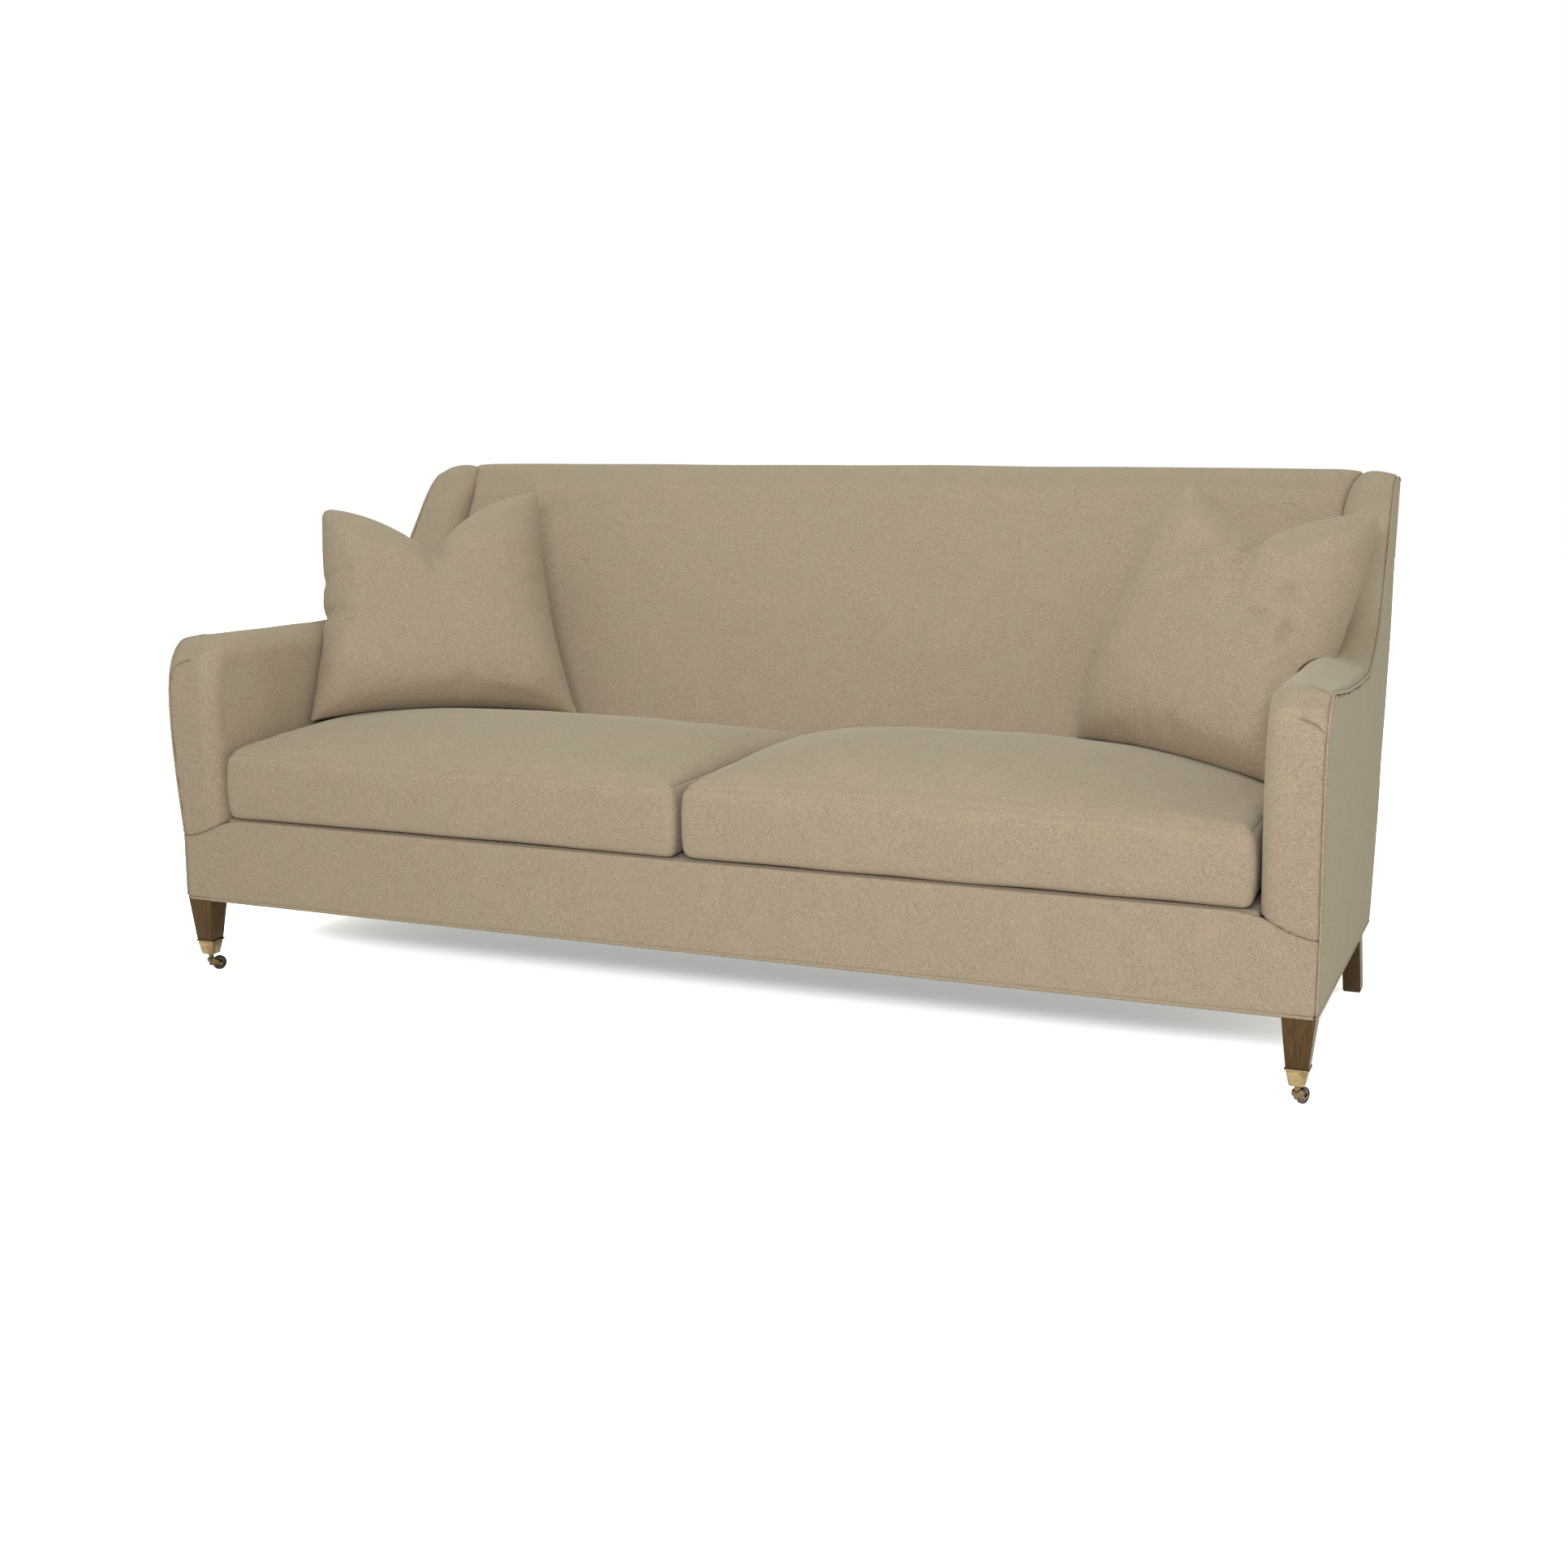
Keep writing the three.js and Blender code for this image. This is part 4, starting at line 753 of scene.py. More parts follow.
@dataclass(frozen=True)
class SofaLines:
    """The sizes that the sofa's pieces share, read from the frame or stated in metres."""

    front: float
    half_width: float
    base_bottom: float
    welt_radius: float
    top: float
    deck_top: float
    back_rear: float
    back_rear_height: float
    swell: float
    toe_in: float = 0.0175
    base_toe_in: float = 0.0065
    twist: float = 0.019
    twist_height: float = 0.150
    arm_width: float = 0.095
    inner_swell: float = 0.011
    wing_flare: float = 0.011
    arm_height: float = 0.643
    panel_thick: float = 0.0050
    arm_welt_radius: float = 0.0023
    seam_end: float = 0.266
    seam_middle: float = 0.302
    seam_run: float = 0.137
    back_cover_thick: float = 0.0063
    base_depth: float = 0.685
    fit: float = 0.3 * MM

    @classmethod
    def read(cls) -> "SofaLines":
        """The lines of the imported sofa."""
        border_low, border_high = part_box("front_rail_cover")
        welt_low, welt_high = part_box("base_welt")
        arm_low, arm_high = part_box("arm_and_wing_cover_right")
        rear_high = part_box("outside_back_cover")[1]
        radius = (welt_high.z - welt_low.z) / 2
        return cls(
            front=border_low.y,
            half_width=border_high.x + 2 * radius + cls.fit,
            base_bottom=(welt_high.z + welt_low.z) / 2,
            welt_radius=radius,
            top=arm_high.z,
            deck_top=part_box("seat_deck")[1].z,
            back_rear=rear_high.y - border_low.y,
            back_rear_height=rear_high.z + cls.fit,
            swell=border_low.y - arm_low.y,
        )

    @property
    def arm_inner(self) -> float:
        """The inner face of an arm at the front."""
        return self.half_width - self.arm_width

    def rear_at(self, height: np.ndarray | float) -> np.ndarray | float:
        """The depth of the outside back's face at a height."""
        rake = (self.back_rear - self.base_depth) / (self.back_rear_height - self.base_bottom)
        return self.base_depth + rake * (height - self.base_bottom)

    def outer_at(self, depth: np.ndarray, height: np.ndarray) -> np.ndarray:
        """How far out the side's face stands at a depth and a height."""
        lean = self.base_toe_in + self.twist * np.maximum(height - self.twist_height, 0.0)
        return self.half_width - lean * np.maximum(depth, 0.0)

    def inner_at(self, depth: np.ndarray, height: np.ndarray) -> np.ndarray:
        """Where an arm's or wing's inner face stands at a depth and a height."""
        swollen = eased(depth, 0.01, 0.14) * eased(depth, 0.86, 0.5)
        full = eased(height, 0.30, 0.52) * eased(height, 0.95, 0.62)
        flare = self.wing_flare * eased(height, self.top - 0.085, self.top) * eased(depth, 0.70, 0.85)
        swell = self.inner_swell * swollen * full
        return self.arm_inner - self.toe_in * np.maximum(depth, 0.0) - swell + flare

    def seam_at(self, across: np.ndarray) -> np.ndarray:
        """The height of the seam between the front rail's cover and what stands on it."""
        end = (self.half_width - self.panel_thick, self.seam_end)
        middle = (end[0] - self.seam_run, self.seam_middle)
        line = np.vstack([[end], stretch(end, middle, ((0.42, 0.12), (0.5, 1.0)))])[::-1]
        return np.interp(np.abs(across), line[:, 0], line[:, 1])

    def side_path(self) -> np.ndarray:
        """The edge of an arm and its wing, from the base up and over to the outside back."""
        base = (0.0, self.base_bottom + self.welt_radius + self.fit)
        seam = (0.0, self.seam_end)
        fullest = (-self.swell, 0.520)
        nose = (0.070, self.arm_height + 0.004)
        foot = (0.505, self.arm_height + 0.002)
        waist = (0.782, 0.801)
        crest = (self.back_rear - 0.057, self.top)
        rear = (self.back_rear, self.back_rear_height)
        return np.vstack([
            [base, seam],
            stretch(seam, fullest, ((0.42, 0.3), (1, 0.65))),
            stretch(fullest, nose, ((0, 0.65), (0.26, 1))),
            [foot],
            stretch(foot, waist, ((0.31, 0), (0.78, 0.53))),
            stretch(waist, crest, ((0.235, 0.31), (0.575, 1))),
            stretch(crest, rear, ((0.5, 0), (1, 0.3)), 8),
        ])

    def side_outline(self, inset: float = 0.0, foot: float = 0.0) -> Outline:
        """The closed edge of an arm and its wing, its foot inside the base.

        Args:
            inset: How far the outside back's side is drawn forward.
            foot: How far below the base's welt the outline goes down.

        Returns:
            The outline.
        """
        path = self.side_path()
        low = self.base_bottom - foot
        rear = [(self.rear_at(h) - inset, h) for h in (self.back_rear_height, low)]
        return Outline([*path, *rear, (0.0, low)])


@dataclass
class ArmAndWing:
    """An arm with its wing: the padded cover, the outside panel and the welt between them."""

    lines: SofaLines
    cell: float = 0.006
    crown_run: float = 0.036
    fall_depths: Sequence[float] = (0.020, 0.062, 0.230, 0.400, 0.540, 0.665, 0.735, 0.782, 0.880, 0.906, 0.980)
    falls: Sequence[float] = (0.0, 0.012, 0.027, 0.033, 0.032, 0.024, 0.007, 0.0, 0.005, 0.010, 0.008)
    crest_drop: float = 4.5 * MM
    crest_zone: tuple[float, float] = (0.84, 0.92)
    round_depths: Sequence[float] = (0.0, 0.07, 0.45, 0.70, 0.90)
    rounds: Sequence[float] = (0.034, 0.044, 0.044, 0.036, 0.032)
    pleats: Sequence["Pleat"] = field(default_factory=lambda: (
        Pleat(((1.0090, 0.0455, 0.6396), (1.0180, 0.0450, 0.6390), (1.0275, 0.0390, 0.6375),
               (1.0360, 0.0320, 0.6330), (1.0415, 0.0260, 0.6270)), (0.08, -0.22, 0.97)),
        Pleat(((1.0050, -0.0095, 0.6025), (1.0140, -0.0100, 0.6010), (1.0240, -0.0115, 0.5975),
               (1.0330, -0.0125, 0.5925), (1.0410, -0.0130, 0.5840)), (0.02, -0.92, 0.38)),
    ))

    def padded(self, x: np.ndarray, y: np.ndarray, z: np.ndarray) -> np.ndarray:
        """Distances to the padded arm and wing on the right."""
        lines = self.lines
        depth = y - lines.front
        edge, nearest = self.outline.measure(depth, z)
        outer = lines.outer_at(depth, z)
        inner = lines.inner_at(depth, z)
        crest = inner + self.crown_run
        fall = np.interp(nearest, self.fall_depths, self.falls)
        edge = edge + fall * np.clip((x - crest) / (outer - crest), 0.0, 1.1) ** 1.7
        edge = edge + self.crest_drop * eased(nearest, *self.crest_zone)
        edge = edge + 0.7 * MM * ripple(x, y, z, 0.16, 11)
        solid = rounded_cut(edge, inner - x, np.interp(nearest, self.round_depths, self.rounds))
        solid = rounded_cut(solid, x - outer + lines.panel_thick, 1.5 * MM)
        return rounded_cut(solid, lines.seam_at(x) + lines.fit - z, 3.0 * MM)

    def panel(self, x: np.ndarray, y: np.ndarray, z: np.ndarray) -> np.ndarray:
        """Distances to the outside panel on the right."""
        lines = self.lines
        depth = y - lines.front
        edge, nearest = self.panel_outline.measure(depth, z)
        fall = np.interp(nearest, self.fall_depths, self.falls) * eased(z, 0.45, 0.6)
        edge = edge + fall + self.panel_inset
        edge = edge + self.crest_drop * eased(nearest, *self.crest_zone)
        outer = lines.outer_at(depth, z) - 0.9 * MM
        swell = 1.4 * MM * eased(-edge, 0.0, 0.12) + 0.5 * MM * ripple(x, y, z, 0.22, 5)
        slab = np.maximum(lines.outer_at(depth, z) - lines.panel_thick + lines.fit - x, x - outer - swell)
        low = lines.base_bottom + 0.5 * lines.welt_radius - z
        return rounded_cut(rounded_cut(edge, low, 1.6 * MM), slab, 1.4 * MM)

    @property
    def panel_inset(self) -> float:
        """How far the outside panel's edge stays inside the arm's, to leave room for the welt."""
        return 2 * self.lines.arm_welt_radius - 0.6 * MM

    def welt_line(self) -> np.ndarray:
        """The middle of the welt on the right."""
        lines = self.lines
        path = evened(lines.side_path(), 5 * MM)
        ahead = np.gradient(path, axis=0)
        ahead /= np.linalg.norm(ahead, axis=1)[:, None]
        inwards = np.stack([ahead[:, 1], -ahead[:, 0]], axis=1)
        fall = np.interp(path[:, 0], self.fall_depths, self.falls) * eased(path[:, 1], 0.5, 0.6)
        fall = fall + self.crest_drop * eased(path[:, 0], *self.crest_zone)
        placed = path + inwards * (fall + lines.arm_welt_radius)[:, None]
        outer = lines.outer_at(placed[:, 0], placed[:, 1]) - lines.arm_welt_radius
        line = np.stack([outer, placed[:, 0] + lines.front, placed[:, 1]], axis=1)
        return evened(line, 4 * MM)

    def build(self, finishes: Finishes) -> None:
        """Makes both arms with their panels and welts."""
        lines = self.lines
        self.outline = lines.side_outline(lines.back_cover_thick)
        self.panel_outline = lines.side_outline(0.6 * MM - self.panel_inset, 0.02)
        low = (lines.arm_inner - 0.035, lines.front - lines.swell, lines.base_bottom)
        high = (lines.half_width, lines.front + lines.back_rear, lines.top)
        arm = skinned(self.padded, low, high, self.cell)
        panel = skinned(self.panel, (lines.half_width - 0.040, *low[1:]), high, (2.6 * MM, 6 * MM, 6 * MM))
        welt = tube(self.welt_line(), lines.arm_welt_radius)
        welt = (welt[0], np.array(welt[1][:-2])), welt[1][-2:]
        for side in Side:
            word = side.word
            turn = mirrored if side is Side.LEFT else (lambda points, faces: (points, faces))
            cover = mesh_object(f"arm_and_wing_{word}", *turn(*arm))
            self.sew_pleats(cover, side)
            finishes.dress(cover, finishes.tweed, "sofa", f"arm_and_wing_cover_{word}",
                           f"arm_and_wing_foam_{word}")
            outside = mesh_object(f"outside_panel_{word}", *turn(*panel))
            finishes.dress(outside, finishes.tweed, "sofa", f"outside_arm_panel_{word}")
            (points, faces), caps = welt
            points, faces = turn(points, faces)
            caps = [cap[::side.value] for cap in caps]
            cord = mesh_object(f"arm_edge_welt_{word}", points, [*faces, *caps])
            finishes.dress(cord, finishes.tweed, "sofa", f"arm_welt_{word}")

    def sew_pleats(self, cover: bpy.types.Object, side: Side) -> None:
        """Folds the small pleats into the top of an arm's front."""
        flip = np.array([side.value, 1.0, 1.0])

        def away(points: np.ndarray) -> np.ndarray:
            """How far points of the cover lie from the nearest pleat."""
            return np.min([np.linalg.norm(pleat.measure(points * flip, self.lines.front)[0], axis=1)
                           for pleat in self.pleats], axis=0)

        def relief(points: np.ndarray) -> np.ndarray:
            """How deep the pleats press the cover in."""
            return sum(pleat.relief(points * flip, self.lines.front) for pleat in self.pleats)

        refined(cover, lambda points: away(points) < 20 * MM, 2)
        refined(cover, lambda points: away(points) < 6 * MM, 1)
        pressed(cover, relief)


@dataclass(frozen=True)
class Pleat:
    """A small fold from a notch in the arm's cover down to its welt.

    The line runs over the right arm, in X, depth and height, and facing is the way its skin looks.
    """

    line: Sequence[tuple[float, float, float]]
    facing: tuple[float, float, float]
    lip: float = 3.0 * MM
    lip_reach: float = 7.0 * MM
    sink: float = 5.0 * MM
    sink_reach: float = 1.8 * MM

    def measure(self, points: np.ndarray, front: float) -> tuple[np.ndarray, np.ndarray, np.ndarray]:
        """Finds the nearest place of the fold's line.

        Args:
            points: Places on the right arm, one a row.
            front: The row of the sofa's front.

        Returns:
            The way from the line to each point, the share of the line at its foot, and its heading there.
        """
        line = evened(np.array(self.line) + np.array([0.0, front, 0.0]), 0.5 * MM)
        gaps = points[:, None] - line[None]
        best = np.linalg.norm(gaps, axis=2).argmin(1)
        ahead = np.gradient(line, axis=0)
        ahead /= np.linalg.norm(ahead, axis=1)[:, None]
        return gaps[np.arange(len(points)), best], best / (len(line) - 1), ahead[best]

    def relief(self, points: np.ndarray, front: float) -> np.ndarray:
        """How deep the fold presses the skin in at each point, or less than 0 on its raised lip."""
        away, share, ahead = self.measure(points, front)
        above = (away * np.cross(self.facing, ahead)).sum(1)
        beyond = np.abs((away * ahead).sum(1))
        fade = eased(share, -0.05, 0.10) * (1 - 0.35 * share) * np.exp(-(beyond / (3 * MM)) ** 2)
        near = np.exp(-(np.linalg.norm(away, axis=1) / 0.03) ** 4)
        rise = self.lip * eased(above, -0.2 * MM, 0.9 * MM) * np.exp(-np.maximum(above, 0) / self.lip_reach)
        fall = self.sink * np.exp(-np.abs(np.minimum(above, 0)) / self.sink_reach) * eased(above, 0.6 * MM, 0.0)
        return (fall - rise) * fade * near


def evened(line: np.ndarray, spacing: float) -> np.ndarray:
    """The same line with evenly spaced points."""
    lengths = np.concatenate([[0.0], np.cumsum(np.linalg.norm(np.diff(line, axis=0), axis=1))])
    count = max(2, round(lengths[-1] / spacing))
    along = np.linspace(0.0, lengths[-1], count)
    return np.stack([np.interp(along, lengths, line[:, a]) for a in range(line.shape[1])], axis=1)


@dataclass
class Base:
    """The front rail's cover with its curved seam, the welt along the bottom and the dust cover."""

    lines: SofaLines
    cell: float = 0.004
    thick: float = 0.012
    corner_round: float = 0.005

    def border(self, x: np.ndarray, y: np.ndarray, z: np.ndarray) -> np.ndarray:
        """Distances to the front rail's cover."""
        lines = self.lines
        depth = y - lines.front
        low = lines.base_bottom + 0.5 * lines.welt_radius
        face = -depth + 0.35 * MM * ripple(x, y, z, 0.13, 3)
        sides = np.abs(x) - (lines.half_width - lines.panel_thick - lines.fit)
        upright = np.maximum(z - lines.seam_at(x), low - z)
        outline = rounded_cut(upright, sides, 1.0 * MM)
        return rounded_cut(rounded_cut(outline, face, 1.6 * MM), depth - self.thick, 2.0 * MM)

    def welt_line(self) -> np.ndarray:
        """The middle of the welt round the bottom of the base, as a loop."""
        lines = self.lines
        near = lines.welt_radius
        far = lines.base_depth - lines.welt_radius
        bend = self.corner_round
        quarter = np.linspace(0, math.pi / 2, 7)
        corners = []
        for sx, depth, start in ((1, near, -1), (1, far, 0), (-1, far, 1), (-1, near, 2)):
            edge = lines.half_width - lines.welt_radius - lines.base_toe_in * depth
            middle = (sx * (edge - bend), depth + (bend if depth == near else -bend))
            angles = quarter + start * math.pi / 2
            corners += [(middle[0] + bend * math.cos(a), middle[1] + lines.front + bend * math.sin(a),
                         lines.base_bottom) for a in angles]
        return evened(np.array([*corners, corners[0]]), 4 * MM)[:-1]

    def dust_sheet(self) -> tuple[np.ndarray, np.ndarray]:
        """The cloth under the seat, tacked round its edge and sagging a little between."""
        low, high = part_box("dust_cover")
        across = np.linspace(low.x, high.x, 57)
        back = np.linspace(low.y, high.y, 21)
        x, y = np.meshgrid(across, back, indexing="ij")
        s = (x - low.x) / (high.x - low.x)
        t = (y - low.y) / (high.y - low.y)
        sag = (16 * s * (1 - s) * t * (1 - t)) ** 0.6
        top = high.z - 2.0 * MM * sag - 0.15 * MM
        upper = np.stack([x, y, top], axis=-1).reshape(-1, 3)
        lower = upper - np.array([0.0, 0.0, 0.9 * MM])
        return closed_sheet(upper, lower, (57, 21))

    def build(self, finishes: Finishes) -> None:
        """Makes the base's cover, welt and dust cover."""
        lines = self.lines
        reach = lines.half_width
        net = skinned(self.border, (-reach, lines.front, lines.base_bottom),
                      (reach, lines.front + self.thick, lines.seam_middle), self.cell)
        finishes.dress(mesh_object("front_border", *net), finishes.tweed, "sofa", "front_rail_cover")
        cord = mesh_object("bottom_welt", *tube(self.welt_line(), lines.welt_radius, closed=True))
        finishes.dress(cord, finishes.tweed, "sofa", "base_welt")
        sheet = mesh_object("dust_sheet", *self.dust_sheet())
        finishes.dress(sheet, finishes.dust, "sofa", "dust_cover")


def grid_faces(numbers: np.ndarray) -> list[list[int]]:
    """The four-sided faces of a grid of points, given each point's number."""
    corners = (numbers[:-1, :-1], numbers[1:, :-1], numbers[1:, 1:], numbers[:-1, 1:])
    return np.stack([corner.ravel() for corner in corners], axis=1).tolist()


def closed_sheet(upper: np.ndarray, lower: np.ndarray,
                 size: tuple[int, int]) -> tuple[np.ndarray, list[list[int]]]:
    """Joins two grids of points into one thin closed sheet.

    Args:
        upper: The points of the upper grid, row by row.
        lower: The points under them.
        size: How many rows the grids have, and how many points a row.

    Returns:
        The sheet's points and faces.
    """
    rows, columns = size
    count = rows * columns
    faces = grid_faces(np.arange(count).reshape(size))
    faces += [[k + count for k in quad[::-1]] for quad in faces]
    rim = [i * columns for i in range(rows)]
    rim += [(rows - 1) * columns + j for j in range(1, columns)]
    rim += [i * columns + columns - 1 for i in range(rows - 2, -1, -1)]
    rim += list(range(columns - 2, 0, -1))
    for a, b in zip(rim, rim[1:] + rim[:1]):
        faces.append([b, a, a + count, b + count])
    return np.vstack([upper, lower]), faces


@dataclass
class Back:
    """The inside back, rolled over the top rail, the outside back and the padded deck under the cushions."""

    lines: SofaLines
    cell: float = 0.008
    foot_depth: float = 0.650
    foot_height: float = 0.430
    shoulder_depth: float = 0.870
    shoulder_height: float = 0.862
    crest_run: float = 0.030
    lumbar_swell: float = 0.012
    side_round: float = 0.012
    crest_sag: float = 7 * MM
    crest_sag_reach: float = 0.065
    wing_round: float = 0.030
    slant: float = 0.93
    deck_seam: float = 0.12

    def inside_outline(self) -> Outline:
        """The closed profile of the inside back."""
        lines = self.lines
        foot = (self.foot_depth, self.foot_height)
        shoulder = (self.shoulder_depth, self.shoulder_height)
        crest = (lines.back_rear - self.crest_run, lines.top)
        rear = (lines.back_rear, lines.back_rear_height)
        pull = self.lumbar_swell / (self.shoulder_depth - self.foot_depth)
        third = 1 / 3
        low = lines.deck_top + lines.fit
        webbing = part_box("back_webbing")
        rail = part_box("back_top_rail")
        hollow_top = rail[1].z + lines.fit
        step = webbing[1].z + 2 * lines.fit

        def inner_face(piece: tuple[Vector, Vector], height: float) -> tuple[float, float]:
            """A point just before a raked piece of the frame, at a height."""
            slip = lines.rear_at(height) - lines.rear_at(piece[0].z)
            return (piece[0].y - lines.front - 2 * lines.fit + slip, height)

        return Outline([
            (self.foot_depth, low),
            foot,
            *stretch(foot, shoulder, ((third - pull, third), (2 * third - pull, 2 * third))),
            *stretch(shoulder, crest, ((0.27, 0.55), (0.6, 1))),
            *stretch(crest, rear, ((0.5, 0), (1, 0.3)), 8),
            (rear[0] - lines.back_cover_thick, rear[1]),
            (lines.rear_at(hollow_top) - lines.back_cover_thick, hollow_top),
            inner_face(rail, hollow_top),
            inner_face(rail, step),
            inner_face(webbing, step),
            inner_face(webbing, low),
        ])

    def inside(self, x: np.ndarray, y: np.ndarray, z: np.ndarray) -> np.ndarray:
        """Distances to the padded inside back."""
        lines = self.lines
        depth = y - lines.front
        edge, nearest = self.outline.measure(depth, z)
        below = np.clip(lines.top - 4.5 * MM - z, 0.6 * MM, self.wing_round)
        rolled = self.wing_round - np.sqrt(self.wing_round**2 - (self.wing_round - below) ** 2)
        high = eased(z, lines.top - 0.06, lines.top - 0.01)
        reach = lines.inner_at(depth, z) + (1.0 + 1.5 * high) * MM + rolled * eased(depth, 0.80, 0.88)
        edge = edge + 0.9 * MM * ripple(x, y, z, 0.24, 21) + 2.0 * MM * (x / reach) ** 2
        near_end = np.clip((np.abs(x) - reach) / self.crest_sag_reach + 1, 0.0, 1.2) ** 2
        sag = self.crest_sag * np.where(x > 0, 1.0, 0.45)
        edge = edge + sag * near_end * eased(nearest, 0.86, 0.93)
        return rounded_cut(edge, np.abs(x) - reach, self.side_round * (1 - 0.6 * high))

    def outside(self, x: np.ndarray, y: np.ndarray, z: np.ndarray) -> np.ndarray:
        """Distances to the outside back's cover, with Y counted from its slanting face."""
        lines = self.lines
        rear = lines.rear_at(z)
        upright = np.maximum(z - lines.back_rear_height + lines.fit,
                             lines.base_bottom + lines.welt_radius + lines.fit - z)
        reach = lines.outer_at(rear, z) - lines.panel_thick
        outline = rounded_cut(upright, np.abs(x) - reach, 2 * MM)
        swell = 0.5 * MM * ripple(x, y + lines.front + rear, z, 0.3, 8)
        slab = np.maximum((lines.fit - lines.back_cover_thick - y) * self.slant,
                          (y + 0.8 * MM) * self.slant - swell)
        return rounded_cut(outline, slab, 2.4 * MM)

    def deck(self, x: np.ndarray, y: np.ndarray, z: np.ndarray) -> np.ndarray:
        """Distances to the padded deck."""
        low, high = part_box("seat_deck")
        reach = high.x - self.lines.toe_in * (y - low.y)
        sides = np.maximum(np.abs(x) - reach, np.maximum(low.y - y, y - high.y))
        seam = 1.6 * MM * np.exp(-((y - low.y - self.deck_seam) / (3 * MM)) ** 2)
        slab = np.maximum(low.z - z, z - high.z + seam + 0.3 * MM)
        return rounded_cut(sides, slab, 5 * MM)

    def build(self, finishes: Finishes) -> None:
        """Makes the inside back, the outside back and the deck."""
        lines = self.lines
        self.outline = self.inside_outline()
        reach = lines.arm_inner
        rear = lines.front + lines.back_rear
        net = skinned(self.inside, (-reach, lines.front + self.foot_depth, lines.deck_top),
                      (reach, rear, lines.top), self.cell)
        inside = mesh_object("inside_back", *net)
        finishes.dress(inside, finishes.tweed, "sofa", "inside_back_cover", "back_foam")
        low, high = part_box("outside_back_cover")
        points, faces = skinned(self.outside, (-lines.half_width, -lines.back_cover_thick, low.z),
                                (lines.half_width, 0.0, high.z), (8 * MM, 1 * MM, 8 * MM))
        points[:, 1] += lines.front + lines.rear_at(points[:, 2])
        outside = mesh_object("outside_back", points, faces)
        finishes.dress(outside, finishes.tweed, "sofa", "outside_back_cover")
        net = skinned(self.deck, *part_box("seat_deck"), 0.009)
        deck = mesh_object("padded_deck", *net)
        finishes.dress(deck, finishes.tweed, "sofa", "seat_deck")


# Soft pieces


def fill_out(thing: bpy.types.Object, pressure: float, most: float) -> None:
    """Lets a closed form swell as a filled cloth case does.

    Args:
        thing: The piece, its mesh closed and even.
        pressure: How hard the filling pushes.
        most: The furthest that a point may move.
    """
    scene = bpy.context.scene
    before = points_of(thing)
    cloth = thing.modifiers.new("fill", "CLOTH")
    cloth.settings.quality = 4
    cloth.settings.mass = 0.25
    cloth.settings.use_pressure = True
    cloth.settings.uniform_pressure_force = pressure
    cloth.settings.tension_stiffness = 12.0
    cloth.settings.compression_stiffness = 12.0
    cloth.settings.bending_stiffness = 0.6
    cloth.settings.effector_weights.gravity = 0.0
    cloth.collision_settings.use_self_collision = False
    for number in range(1, FILL_FRAMES + 1):
        scene.frame_set(number)
    move = points_of(thing.evaluated_get(bpy.context.evaluated_depsgraph_get())) - before
    length = np.linalg.norm(move, axis=1)
    move *= np.minimum(1.0, most / np.maximum(length, 1e-9))[:, None]
    thing.modifiers.clear()
    scene.frame_set(1)
    set_points(thing, before + move)


@dataclass(frozen=True)
class Crown:
    """How the top of a seat cushion rises over its edges.

    Places run from -1 to 1 across the cushion and from its front to its rear.
    """

    height: float
    crest_at: float
    inner_power: float
    outer_power: float
    outer_reach: float
    front_power: float
    rear_fall: float
    rear_power: float

    def rise(self, outwards: np.ndarray, back: np.ndarray) -> np.ndarray:
        """The rise at places across, counted towards the arm, and along the cushion."""
        away = np.abs(outwards)
        fall = np.where(outwards > 0, np.clip(away / self.outer_reach, 0.0, 1.0) ** self.outer_power,
                        away ** self.inner_power)
        ahead = np.clip((self.crest_at - back) / (1 + self.crest_at), 0.0, 1.0)
        behind = np.clip((back - self.crest_at) / (1 - self.crest_at), 0.0, 1.0)
        along = 1 - ahead**self.front_power - self.rear_fall * behind**self.rear_power
        return np.maximum(self.height * (1 - fall) * along, 0.0)


